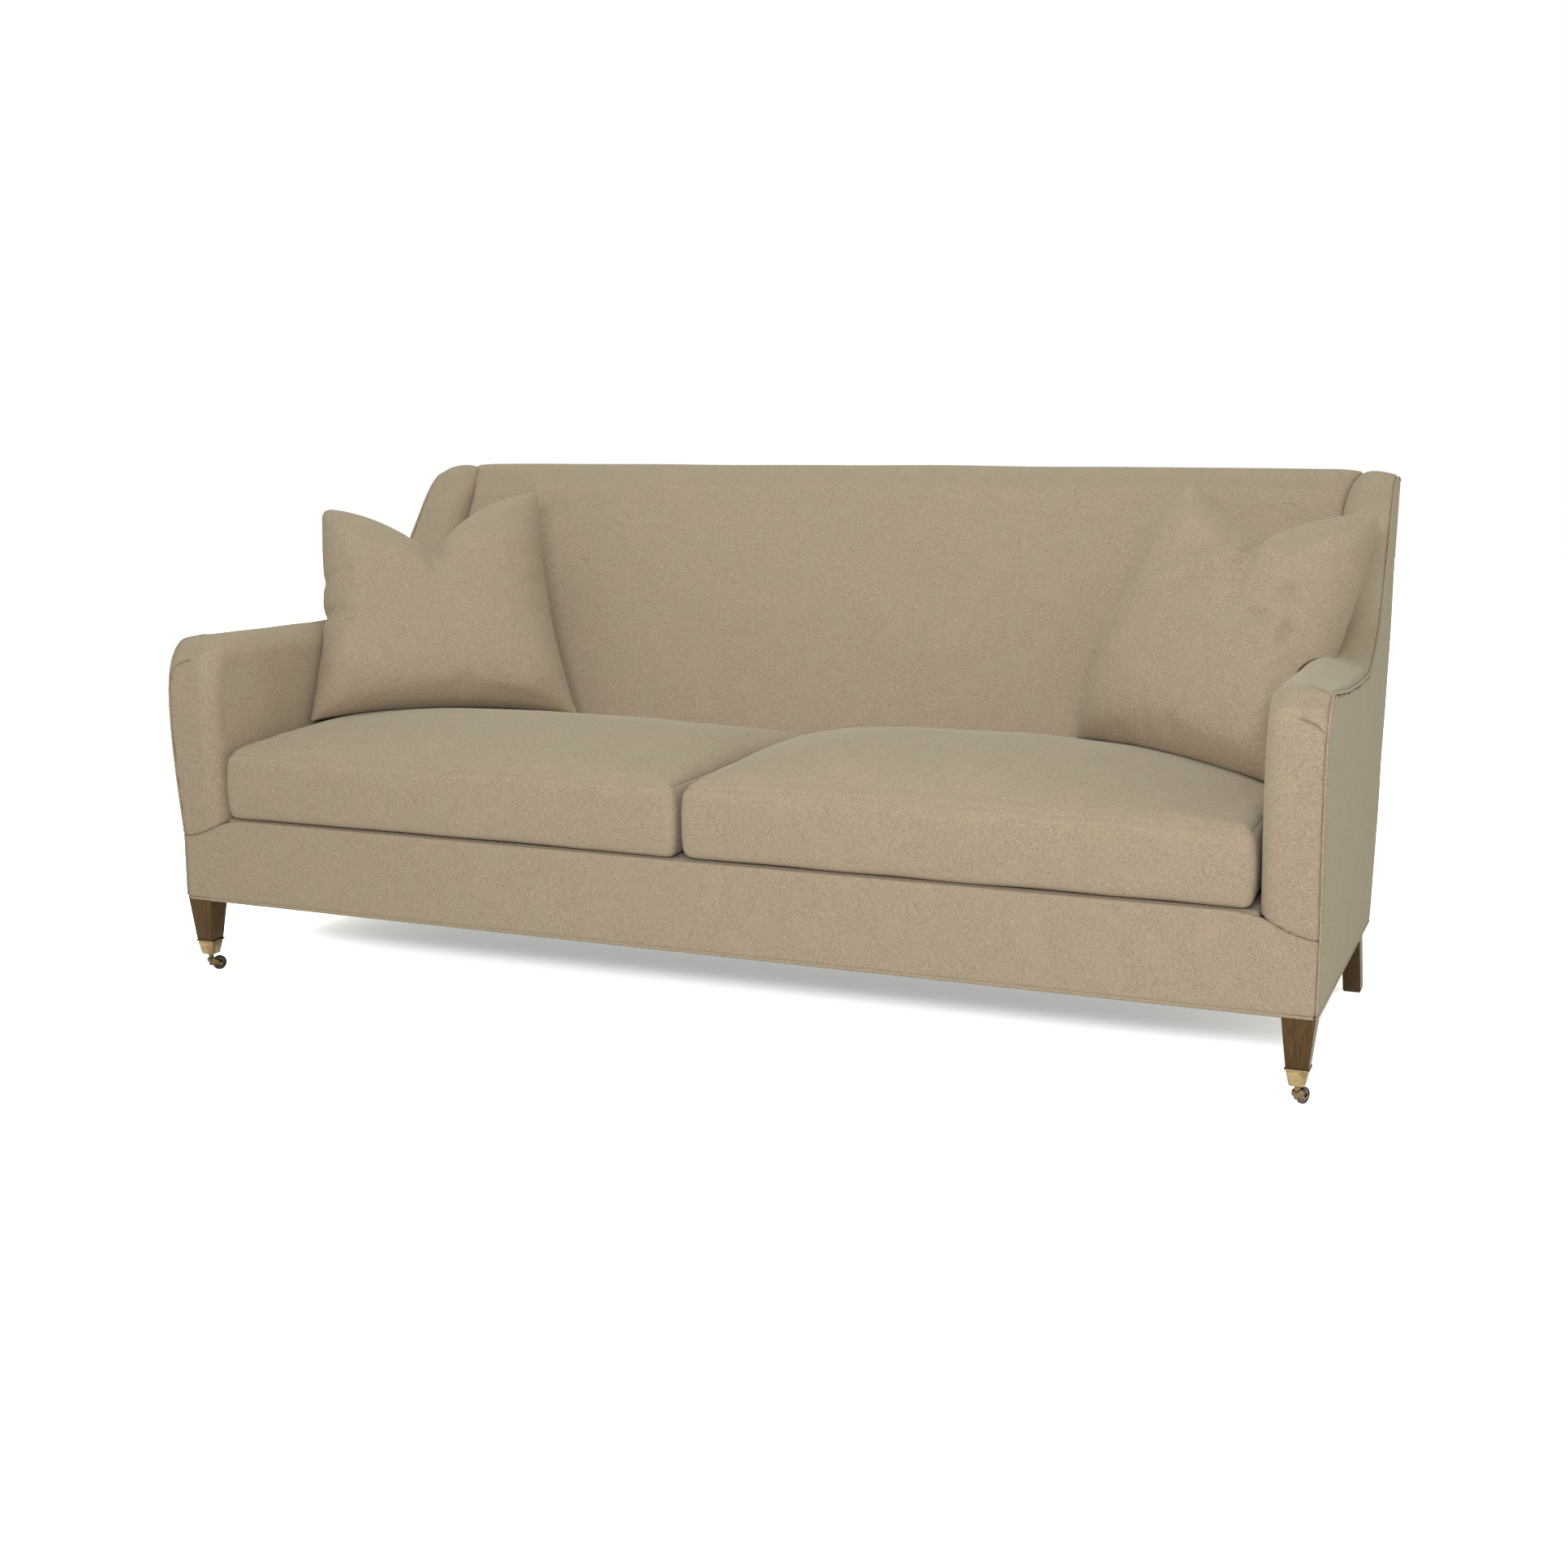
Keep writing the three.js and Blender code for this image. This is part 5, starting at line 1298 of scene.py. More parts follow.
@dataclass
class SeatCushion:
    """A loose box cushion, crowned, with its upper seam stitched down on both sides."""

    lines: SofaLines
    side: Side
    crown: Crown
    cell: float = 0.010
    edge_height: float = 0.132
    corner: float = 0.024
    low_corner: float = 0.013
    plan_corner: float = 0.013
    bulge: float = 0.006
    draw_in: float = 0.002
    seam_depth: float = 1.9 * MM
    seam_width: float = 1.9 * MM
    stitch_pitch: float = 5.5 * MM
    stitch_length: float = 3.4 * MM
    stitch_gap: float = 4.0 * MM
    stitch_radius: float = 0.42 * MM

    def walls(self, x: np.ndarray, y: np.ndarray, z: np.ndarray) -> tuple[np.ndarray, np.ndarray]:
        """Distances to the cushion's upright sides and to its top."""
        low, high = self.low, self.high
        rise = np.clip((z - low[2]) / self.edge_height, 0.0, 1.0)
        full = self.bulge * (4 * rise * (1 - rise)) ** 0.8
        s = np.clip((x - low[0]) / (high[0] - low[0]), 0.0, 1.0) * 2 - 1
        t = np.clip((y - low[1]) / (high[1] - low[1]), 0.0, 1.0) * 2 - 1
        toe = self.lines.toe_in * np.maximum(y - low[1], 0.0)
        left = low[0] - x + (toe if self.side is Side.LEFT else 0.0)
        right = x - high[0] + (toe if self.side is Side.RIGHT else 0.0)
        inset = self.draw_in - full
        sides = np.maximum(left, right) + self.draw_in * (1 - t * t) + inset
        ends = np.maximum(low[1] - y, y - high[1]) + inset
        plan = rounded_cut(sides, ends, self.plan_corner)
        crown = self.crown.rise(s * self.side.value, t)
        crown = crown + 0.8 * MM * ripple(x, y, 0.0 * z, 0.19, 31 + self.side.value)
        return plan, (z - low[2] - self.edge_height - crown) * 0.9

    def form(self, x: np.ndarray, y: np.ndarray, z: np.ndarray) -> np.ndarray:
        """Distances to the cushion."""
        solid = rounded_cut(*self.walls(x, y, z), self.corner)
        sag = 1.2 * MM * (1 + ripple(x, y, 0.0 * z, 0.21, 41 + self.side.value))
        return rounded_cut(solid, self.low[2] + sag - z, self.low_corner)

    def seam_offset(self, points: np.ndarray) -> np.ndarray:
        """How far below the upper seam points of the skin lie, or above it if negative."""
        plan, top = self.walls(*points.T)
        offset = (plan - top) / math.sqrt(2)
        return np.where(points[:, 2] > self.low[2] + self.edge_height / 2, offset, 1.0)

    def seam_line(self, case: bpy.types.Object, offset: float) -> np.ndarray:
        """A loop on the case beside its upper seam.

        Args:
            case: The cushion.
            offset: How far below the seam the loop runs, or above it if negative.

        Returns:
            The loop's points, evenly spaced.
        """
        points = points_of(case)
        ends = np.empty(len(case.data.edges) * 2, int)
        case.data.edges.foreach_get("vertices", ends)
        ends = ends.reshape(-1, 2)
        away = self.seam_offset(points) - offset
        low, high = away[ends[:, 0]], away[ends[:, 1]]
        cut = (low * high < 0) & (np.abs(low - high) < 0.03)
        share = (low[cut] / (low[cut] - high[cut]))[:, None]
        found = points[ends[cut, 0]] * (1 - share) + points[ends[cut, 1]] * share
        middle = (self.low + self.high) / 2
        reach = (self.high - self.low) / 2
        angle = np.arctan2((found[:, 1] - middle[1]) / reach[1], (found[:, 0] - middle[0]) / reach[0])
        ring = found[np.argsort(angle)]
        kernel = np.ones(5) / 5
        wrapped = np.vstack([ring[-2:], ring, ring[:2]])
        ring = np.stack([np.convolve(wrapped[:, a], kernel, "valid") for a in range(3)], axis=1)
        return evened(np.vstack([ring, ring[:1]]), 1.0 * MM)

    def stitches(self, case: bpy.types.Object) -> tuple[np.ndarray, list[list[int]]]:
        """The thread of both rows of topstitching."""
        points, faces = [], []
        count = 0
        for offset in (-self.stitch_gap, self.stitch_gap):
            line = self.seam_line(case, offset)
            step = round(self.stitch_pitch / MM)
            span = round(self.stitch_length / MM) + 1
            taper = self.stitch_radius * np.array([0.5] + [1.0] * (span - 2) + [0.5])
            for first in range(0, len(line) - span, step):
                run, skin = tube(line[first:first + span], taper, 5)
                points.append(run)
                faces += [[k + count for k in face] for face in skin]
                count += len(run)
        return np.concatenate(points), faces

    def build(self, finishes: Finishes) -> None:
        """Makes the cushion and its topstitching."""
        word = self.side.word
        low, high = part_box(f"seat_cushion_{word}")
        self.low, self.high = np.array(low), np.array(high)
        case = mesh_object(f"cushion_case_{word}", *skinned(self.form, self.low, self.high, self.cell))
        fill_out(case, 4.0, 0.006)
        self.keep_in_place(case)
        subdivided(case)
        refined(case, lambda points: np.abs(self.seam_offset(points)) < 9 * MM)
        pressed(case, self.seam_relief)
        finishes.dress(case, finishes.tweed, f"cushion_{word}", f"seat_cushion_{word}")
        thread = mesh_object(f"cushion_stitches_{word}", *self.stitches(case))
        finishes.dress(thread, finishes.thread, f"cushion_{word}")

    def seam_relief(self, points: np.ndarray) -> np.ndarray:
        """How deep the seam and its two rows of stitches draw the case in."""
        offset = self.seam_offset(points)
        seam = self.seam_depth * np.exp(-(offset / self.seam_width) ** 2)
        rows = 0.5 * MM * np.exp(-((np.abs(offset) - self.stitch_gap) / (1.4 * MM)) ** 2)
        return seam + rows

    def keep_in_place(self, case: bpy.types.Object) -> None:
        """Presses the case flat where it meets the deck, the arm, the back and its neighbour."""
        points = points_of(case)
        fit = self.lines.fit
        reach = self.lines.inner_at(points[:, 1] - self.lines.front, points[:, 2]) - fit
        left, right = self.low[0] - fit, self.high[0] + fit
        points[:, 0] = np.clip(points[:, 0], np.maximum(left, -reach), np.minimum(right, reach))
        points[:, 1] = np.minimum(points[:, 1], self.high[1] + 2 * MM)
        points[:, 2] = np.maximum(points[:, 2], self.low[2])
        set_points(case, points)


@dataclass(frozen=True)
class Chop:
    """The dent pressed into the top edge of a pillow.

    Places run from -1 to 1 across and up the pillow.
    """

    at: float
    drop: float
    curves: tuple[float, float]
    fold: float = 0.0
    fold_slope: float = 1.0
    fold_reach: float = 0.85
    crease: float = 0.5


@dataclass
class ThrowPillow:
    """A loose feather pillow, chopped down in the middle of its top edge."""

    side: Side
    ears: Sequence[Sequence[float]]
    chop: Chop
    fullness: float = 0.155
    edge_draw: tuple[float, float, float, float] = (0.010, 0.010, 0.024, 0.024)
    bend: float = 0.0
    ear_round: tuple[float, float] = (0.045, 0.09)
    dents: Sequence[tuple[float, float, float, float, float]] = ()
    notches: Sequence[tuple[float, float, float]] = ()
    cells: int = 90

    def skin(self, s: np.ndarray, t: np.ndarray, face: int) -> np.ndarray:
        """Points of one face of the pillow.

        Args:
            s: Places across, from -1 to 1.
            t: Places up, from -1 to 1.
            face: 1 for the front and -1 for the back.

        Returns:
            The points, one a row.
        """
        low_left, low_right, high_right, high_left = (np.array(e) for e in self.ears)
        up = high_left + high_right - low_left - low_right
        up /= np.linalg.norm(up)
        across = low_right + high_right - low_left - high_left
        across /= np.linalg.norm(across)
        normal = np.cross(across, up)
        normal /= np.linalg.norm(normal)
        s1, t1 = ((a[:, None] + 1) / 2 for a in self.with_round_ears(s, t))
        low = low_left + (low_right - low_left) * s1
        high = high_left + (high_right - high_left) * s1
        place = low + (high - low) * t1
        chop = self.chop
        notch = sum((depth * np.exp(-((t - at) / width) ** 2) for at, depth, width in self.notches), 0.0 * s)
        left_draw, right_draw, low_draw, high_draw = self.edge_draw
        draw = np.where(s < 0, left_draw, right_draw) * (1 - t * t) * (1 - 0.45 * eased(t, 0.3, 0.7))
        sideways = -draw * s + notch * np.clip(-s, 0, 1) ** 6
        upwards = -np.where(t < 0, low_draw, high_draw) * t * (1 - s * s)
        away = np.abs(s - chop.at) / np.where(s < chop.at, 1 + chop.at, 1 - chop.at)
        power = np.where(s < chop.at, *chop.curves)
        near = np.clip(1 - away, 0, 1)
        upwards = upwards - chop.drop * near**power * ((1 + t) / 2) ** 2.2
        full = ((1 - np.abs(s) ** 5) * (1 - np.abs(t) ** 5)) ** 0.55
        crease = np.exp(-((s - chop.at) / 0.09) ** 2) * np.clip((t + 0.3) / 1.3, 0, 1) ** 2
        full = full * (1 - chop.crease * crease * (1 + t) / 2)
        outwards = face * full * self.fullness / 2
        outwards = outwards - face * self.dented(s, t) - self.bend * (1 - t * t) * np.clip(s, 0, 1) ** 3
        if chop.fold:
            fade = np.clip(1 - (chop.at - s) / chop.fold_reach, 0, 1)
            above = t - (1 - chop.fold_slope * np.clip(chop.at - s, 0, 1)) + 0.10
            width = 0.06 + 0.12 * np.clip(chop.at - s, 0, 1)
            behind = eased(above, 0.0, width) * fade * eased(s, chop.at + 0.10, chop.at - 0.04)
            outwards = outwards - chop.fold * behind
            lip = np.exp(-((above + 0.16) / 0.16) ** 2) * fade * eased(s, chop.at + 0.5, chop.at)
            outwards = outwards + 0.25 * chop.fold * lip * (face > 0)
        return place + across * sideways[:, None] + up * upwards[:, None] + normal * outwards[:, None]

    def with_round_ears(self, s: np.ndarray, t: np.ndarray) -> tuple[np.ndarray, np.ndarray]:
        """Draws the corners of the square from -1 to 1 in, so that the ears are round."""
        low_round, high_round = self.ear_round
        wide = np.where(t < 0, low_round, high_round)
        a = np.clip((np.abs(s) - 1 + wide) / wide, 0, 1)
        b = np.clip((np.abs(t) - 1 + wide) / wide, 0, 1)
        return (np.sign(s) * (np.minimum(np.abs(s), 1 - wide) + wide * a * np.sqrt(1 - b * b / 2)),
                np.sign(t) * (np.minimum(np.abs(t), 1 - wide) + wide * b * np.sqrt(1 - a * a / 2)))

    def dented(self, s: np.ndarray, t: np.ndarray) -> np.ndarray:
        """How deep the small dents and the wrinkles along the edges go."""
        deep = 0.0 * s
        for at, height, length, width, depth in self.dents:
            deep = deep + depth * np.exp(-((s - at) / length) ** 2 - ((t - height) / width) ** 2)
        edge = np.clip((np.maximum(np.abs(s), np.abs(t)) - 0.55) / 0.45, 0, 1)
        inside = 1 - np.maximum(np.abs(s), np.abs(t)) ** 12
        along = np.where(np.abs(s) > np.abs(t), t, s)
        folds = np.sin(along * 17 + 2.1 * np.sin(along * 5 + self.side.value))
        return deep + 1.6 * MM * folds * edge * inside

    def build(self, finishes: Finishes, neighbours: Sequence[Form]) -> None:
        """Makes the pillow.

        Args:
            finishes: The sofa's finishes.
            neighbours: The forms that it rests on and leans against.
        """
        word = self.side.word
        n = self.cells
        steps = -np.cos(np.pi * np.arange(n + 1) / n) * 0.55 + np.linspace(-1, 1, n + 1) * 0.45
        s, t = (a.ravel() for a in np.meshgrid(steps, steps, indexing="ij"))
        points, faces = closed_pillow(self.skin(s, t, 1), self.skin(s, t, -1), n + 1)
        case = mesh_object(f"pillow_case_{word}", cleared(points, neighbours, 1.0 * MM), faces)
        fill_out(case, 3.0, 0.006)
        set_points(case, cleared(points_of(case), neighbours, 1.0 * MM))
        self.crease_seam(case)
        subdivided(case)
        finishes.dress(case, finishes.tweed, f"pillow_{word}", f"throw_pillow_{word}")

    def crease_seam(self, case: bpy.types.Object) -> None:
        """Keeps the seam round the pillow crisp when its faces are subdivided."""
        n = self.cells + 1
        grid = np.arange(n * n).reshape(n, n)
        rim = set(grid[0]) | set(grid[-1]) | set(grid[:, 0]) | set(grid[:, -1])
        creases = case.data.attributes.new("crease_edge", "FLOAT", "EDGE")
        for edge in case.data.edges:
            if edge.vertices[0] in rim and edge.vertices[1] in rim:
                creases.data[edge.index].value = 0.75


def closed_pillow(front: np.ndarray, back: np.ndarray, size: int) -> tuple[np.ndarray, list[list[int]]]:
    """Joins two square grids of points at their rims.

    Args:
        front: The front's points, row by row.
        back: The back's points, which share the front's rim.
        size: How many points a row has.

    Returns:
        The points and faces of the pillow.
    """
    grid = np.arange(size * size).reshape(size, size)
    inner = grid[1:-1, 1:-1].ravel()
    renamed = grid.copy()
    renamed[1:-1, 1:-1] = (size * size + np.arange(len(inner))).reshape(size - 2, size - 2)
    faces = grid_faces(grid) + [quad[::-1] for quad in grid_faces(renamed)]
    return np.vstack([front, back[inner]]), faces


# Legs and casters


@dataclass
class FrontLeg:
    """A tapered walnut leg in a brass cup, on a caster."""

    side: Side
    shoulder_width: float = 0.035
    cup_foot_width: float = 0.0245
    cup_wall: float = 1.4 * MM
    bead: float = 1.6 * MM
    edge_round: float = 1.8 * MM
    stem_room: float = 0.0088
    trail: float = 0.016
    turn_degrees: float = -26.0
    barrel_radius: float = 4.9 * MM
    barrel_bottom: float = 10.5 * MM
    stem_radius: float = 3.95 * MM
    crown_radius: float = 7.0 * MM
    cheek_inner: float = 4.55 * MM
    cheek_outer: float = 6.8 * MM
    cheek_radius: float = 4.3 * MM
    wheel_room: float = 14.1 * MM
    axle_radius: float = 2.05 * MM
    axle_height: float = 13.5 * MM

    def build(self, finishes: Finishes) -> None:
        """Makes the leg, the cup, the horn, the axle and the wheel."""
        word = self.side.word
        self.low, self.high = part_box(f"front_leg_{word}")
        self.cup_low, self.cup_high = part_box(f"caster_cup_{word}")
        self.centre = ((self.low.x + self.high.x) / 2, (self.low.y + self.high.y) / 2)
        leg = mesh_object(f"tapered_leg_{word}", *self.leg(), sharp=50)
        finishes.dress(leg, finishes.walnut, "sofa", f"front_leg_{word}")
        cup = mesh_object(f"brass_cup_{word}", *self.cup(), sharp=50)
        finishes.dress(cup, finishes.brass, "sofa", f"caster_cup_{word}")
        horn_low, horn_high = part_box(f"caster_horn_{word}")
        self.stem_top, self.horn_bottom = horn_high.z, horn_low.z
        reach = self.crown_radius
        horn = skinned(self.horn, (-reach, -reach, self.horn_bottom),
                       (reach, self.trail + self.cheek_radius, self.stem_top), 1.0 * MM)
        horn = mesh_object(f"caster_fork_{word}", self.swivelled(horn[0]), horn[1])
        finishes.dress(horn, finishes.darker_brass, f"caster_{word}", f"caster_horn_{word}")
        points, faces = self.axle()
        axle = mesh_object(f"axle_pin_{word}", self.swivelled(points), faces, sharp=40)
        finishes.dress(axle, finishes.darker_brass, f"caster_{word}", f"caster_axle_{word}")
        points, faces = self.wheel()
        wheel = mesh_object(f"wheel_disc_{word}", self.swivelled(points), faces, sharp=30)
        finishes.dress(wheel, finishes.bronze, f"wheel_{word}", f"caster_wheel_{word}")

    def cup_width(self, height: float) -> float:
        """The width of the cup's outer face at a height, below its bead."""
        rise = (height - self.cup_low.z) / (self.cup_high.z - self.cup_low.z)
        return self.cup_foot_width + (self.shoulder_width - self.cup_foot_width) * rise

    def leg(self) -> tuple[np.ndarray, list[list[int]]]:
        """The leg, with a tenon inside the cup and room for the caster's stem."""
        fit = 0.2 * MM
        foot = self.low.z
        shoulder = self.cup_high.z + fit
        wide = self.high.x - self.low.x + 5 * MM
        slope = (wide - self.shoulder_width) / (self.high.z - 8 * MM - shoulder)
        stem_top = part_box(f"caster_horn_{self.side.word}")[1].z + 0.6 * MM

        def tenon(height: float) -> float:
            """The width of the leg inside the cup."""
            return self.cup_width(height) - 2 * self.cup_wall - 2 * fit

        profile = [(self.stem_room, stem_top, self.stem_room / 2), (self.stem_room, foot, self.stem_room / 2),
                   (tenon(foot), foot, self.edge_round), (tenon(self.cup_high.z - fit), self.cup_high.z - fit,
                                                         self.edge_round)]
        for rise in (0.0, 0.5 * MM, 0.02, 0.04, 0.06):
            bevel = 0.8 * MM if rise == 0.0 else 0.0
            profile.append((self.shoulder_width - bevel + slope * rise, shoulder + rise, self.edge_round))
        profile += [(wide, self.high.z - 8 * MM, self.edge_round), (wide, self.high.z, self.edge_round)]
        return loft([boxed_ring(self.centre, (w, w), h, corner) for w, h, corner in profile])

    def cup(self) -> tuple[np.ndarray, list[list[int]]]:
        """The cup: a tapered square socket with a bead round its rim and a hole for the stem."""
        low, high = self.cup_low.z, self.cup_high.z
        bead = self.bead
        middle = high - bead
        ring = self.shoulder_width
        foot = self.cup_foot_width
        profile = [(foot - 2.6 * MM, low), (foot - 0.8 * MM, low + 0.45 * MM), (foot, low + 1.3 * MM),
                   (self.cup_width(middle - 2.2 * bead), middle - 2.2 * bead),
                   (self.cup_width(middle - 1.3 * bead) - 1.6 * MM, middle - 1.3 * bead)]
        for degrees in (-60, -35, -10, 15, 40, 65, 90):
            angle = math.radians(degrees)
            profile.append((ring + 0.6 * MM + 2.0 * bead * math.cos(angle), middle + bead * math.sin(angle)))
        inner = 2 * self.cup_wall
        floor = low + self.cup_wall
        profile += [(self.cup_width(high) - inner, high), (self.cup_width(floor) - inner, floor),
                    (self.stem_room, floor), (self.stem_room, low)]
        corner = 1.5 * MM
        return loft([boxed_ring(self.centre, (w, w), h, max(corner, (w - foot) / 8)) for w, h in profile],
                    closed=True)

    def swivelled(self, points: np.ndarray) -> np.ndarray:
        """Points of the caster, turned about its stem and put under the leg."""
        turn = math.radians(self.turn_degrees)
        x, y, z = points.T
        return np.stack([self.centre[0] + x * math.cos(turn) - y * math.sin(turn),
                         self.centre[1] + x * math.sin(turn) + y * math.cos(turn), z], axis=1)

    def horn(self, x: np.ndarray, y: np.ndarray, z: np.ndarray) -> np.ndarray:
        """Distances to the horn: a barrel under a crown, with two cheeks that hold the axle."""
        radius = np.hypot(x, y)
        crown_top = self.cup_low.z - 0.3 * MM
        barrel = rounded_cut(radius - self.barrel_radius, self.barrel_bottom - z, 1.2 * MM)
        barrel = np.maximum(barrel, z - crown_top)
        crown = rounded_cut(radius - self.crown_radius, np.maximum(crown_top - 1.8 * MM - z, z - crown_top),
                            0.8 * MM)
        stem = rounded_cut(radius - self.stem_radius, z - self.stem_top, 1.0 * MM)
        stem = np.maximum(stem, crown_top - 4 * MM - z)
        run = np.clip(y / self.trail, 0.0, 1.0)
        lift = self.axle_height + (1 - run) ** 1.5 * 7.0 * MM
        wide = self.cheek_radius + (1 - run) * 2.2 * MM
        plate = np.hypot(y - run * self.trail, z - lift) - wide
        cheeks = rounded_cut(plate, np.abs(x) - self.cheek_outer, 1.2 * MM)
        horn = blended_join(blended_join(barrel, cheeks, 1.5 * MM), crown, 1.0 * MM)
        horn = np.minimum(horn, stem)
        room = np.hypot(y - self.trail, z - self.axle_height) - self.wheel_room
        slot = rounded_cut(room, np.abs(x) - self.cheek_inner, 0.6 * MM)
        bore = np.hypot(y - self.trail, z - self.axle_height) - self.axle_radius - 0.3 * MM
        return np.maximum(np.maximum(horn, -slot), -bore)

    def at_axle(self, profile: Sequence[tuple[float, float]], sides: int) -> tuple[np.ndarray, list[list[int]]]:
        """Turns a closed profile round the axle, before the caster is swivelled."""
        points, faces = turned(profile, sides)
        return points + np.array([0.0, self.trail, self.axle_height]), faces

    def axle(self) -> tuple[np.ndarray, list[list[int]]]:
        """The axle: a pin with a domed knob at each end."""
        pin = self.axle_radius
        knob_start = self.cheek_outer + 0.15 * MM
        half = [(pin, knob_start), (3.1 * MM, knob_start), (3.5 * MM, knob_start + 0.5 * MM),
                (3.5 * MM, knob_start + 1.9 * MM), (3.0 * MM, knob_start + 2.8 * MM),
                (1.8 * MM, knob_start + 3.3 * MM), (0.3 * MM, knob_start + 3.45 * MM)]
        profile = [(r, -a) for r, a in reversed(half)] + half
        return self.at_axle(profile, 24)

    def wheel(self) -> tuple[np.ndarray, list[list[int]]]:
        """The wheel: a tread with a sunk web and a hub."""
        half = [(2.4, 4.0), (4.4, 4.0), (4.9, 3.3), (9.8, 3.1),
                (10.4, 3.9), (12.4, 4.0), (13.2, 3.4), (13.5, 2.4)]
        profile = [(r * MM, -a * MM) for r, a in half] + [(r * MM, a * MM) for r, a in reversed(half)]
        return self.at_axle(profile, 56)


@dataclass
class RearLeg:
    """A plain square walnut leg, splayed to the rear."""

    side: Side
    depth: float = 0.042
    splay: float = 0.070
    knee: float = 0.1425
    edge_round: float = 1.8 * MM

    def build(self, finishes: Finishes) -> None:
        """Makes the leg."""
        word = self.side.word
        low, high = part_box(f"rear_leg_{word}")
        wide = high.x - low.x
        rings = []
        for height, trim in ((0.0, 5.0 * MM), (1.5 * MM, 2.2 * MM), (5 * MM, 0.0), (0.04, 0.0), (0.08, 0.0),
                             (0.12, 0.0), (self.knee, 0.0), (high.z, 0.0)):
            front = low.y + self.splay * max(0.0, 1 - height / self.knee)
            centre = ((low.x + high.x) / 2, front + self.depth / 2)
            rings.append(boxed_ring(centre, (wide - trim, self.depth - 2 * trim), height, self.edge_round))
        leg = mesh_object(f"splayed_leg_{word}", *loft(rings), sharp=50)
        finishes.dress(leg, finishes.walnut, "sofa", f"rear_leg_{word}")


class FrameNodes:
    """The frame's own nodes that stay, hidden under the covers, each with its finish."""

    groups = {
        "hardwood": ("front_rail", "back_rail", "back_lower_rail", "back_top_rail", "back_upright",
                     "seat_stretcher", "corner_block", "arm_post", "side_rail", "arm_rail", "back_post",
                     "wing_board"),
        "steel": ("seat_springs", "spring_clip", "front_leg_bolt", "rear_leg_bolt"),
        "jute": ("spring_insulator", "back_webbing"),
    }

    def build(self, finishes: Finishes) -> None:
        """Dresses every node whose name begins with one of those above."""
        for name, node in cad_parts.items():
            found = [(max(map(len, keys)), finish) for finish, words in self.groups.items()
                     if (keys := [word for word in words if name.startswith(word)])]
            if found:
                material = finishes.material(getattr(finishes, max(found)[1]))
                for slot in node.material_slots:
                    slot.material = material


# The studio


@dataclass(frozen=True)
class Lamp:
    """A soft rectangular lamp aimed at the sofa."""

    name: str
    place: tuple[float, float, float]
    size: tuple[float, float]
    power: float
    colour: Colour
    target: tuple[float, float, float] = (0.0, 0.0, 0.45)

    def build(self) -> None:
        """Hangs the lamp."""
        data = bpy.data.lights.new(self.name, "AREA")
        data.shape = "RECTANGLE"
        data.size, data.size_y = self.size
        data.energy = self.power
        data.color = self.colour
        lamp = bpy.data.objects.new(self.name, data)
        lamp.location = self.place
        aim = Vector(self.target) - lamp.location
        lamp.rotation_euler = aim.to_track_quat("-Z", "Y").to_euler()
        bpy.context.scene.collection.objects.link(lamp)


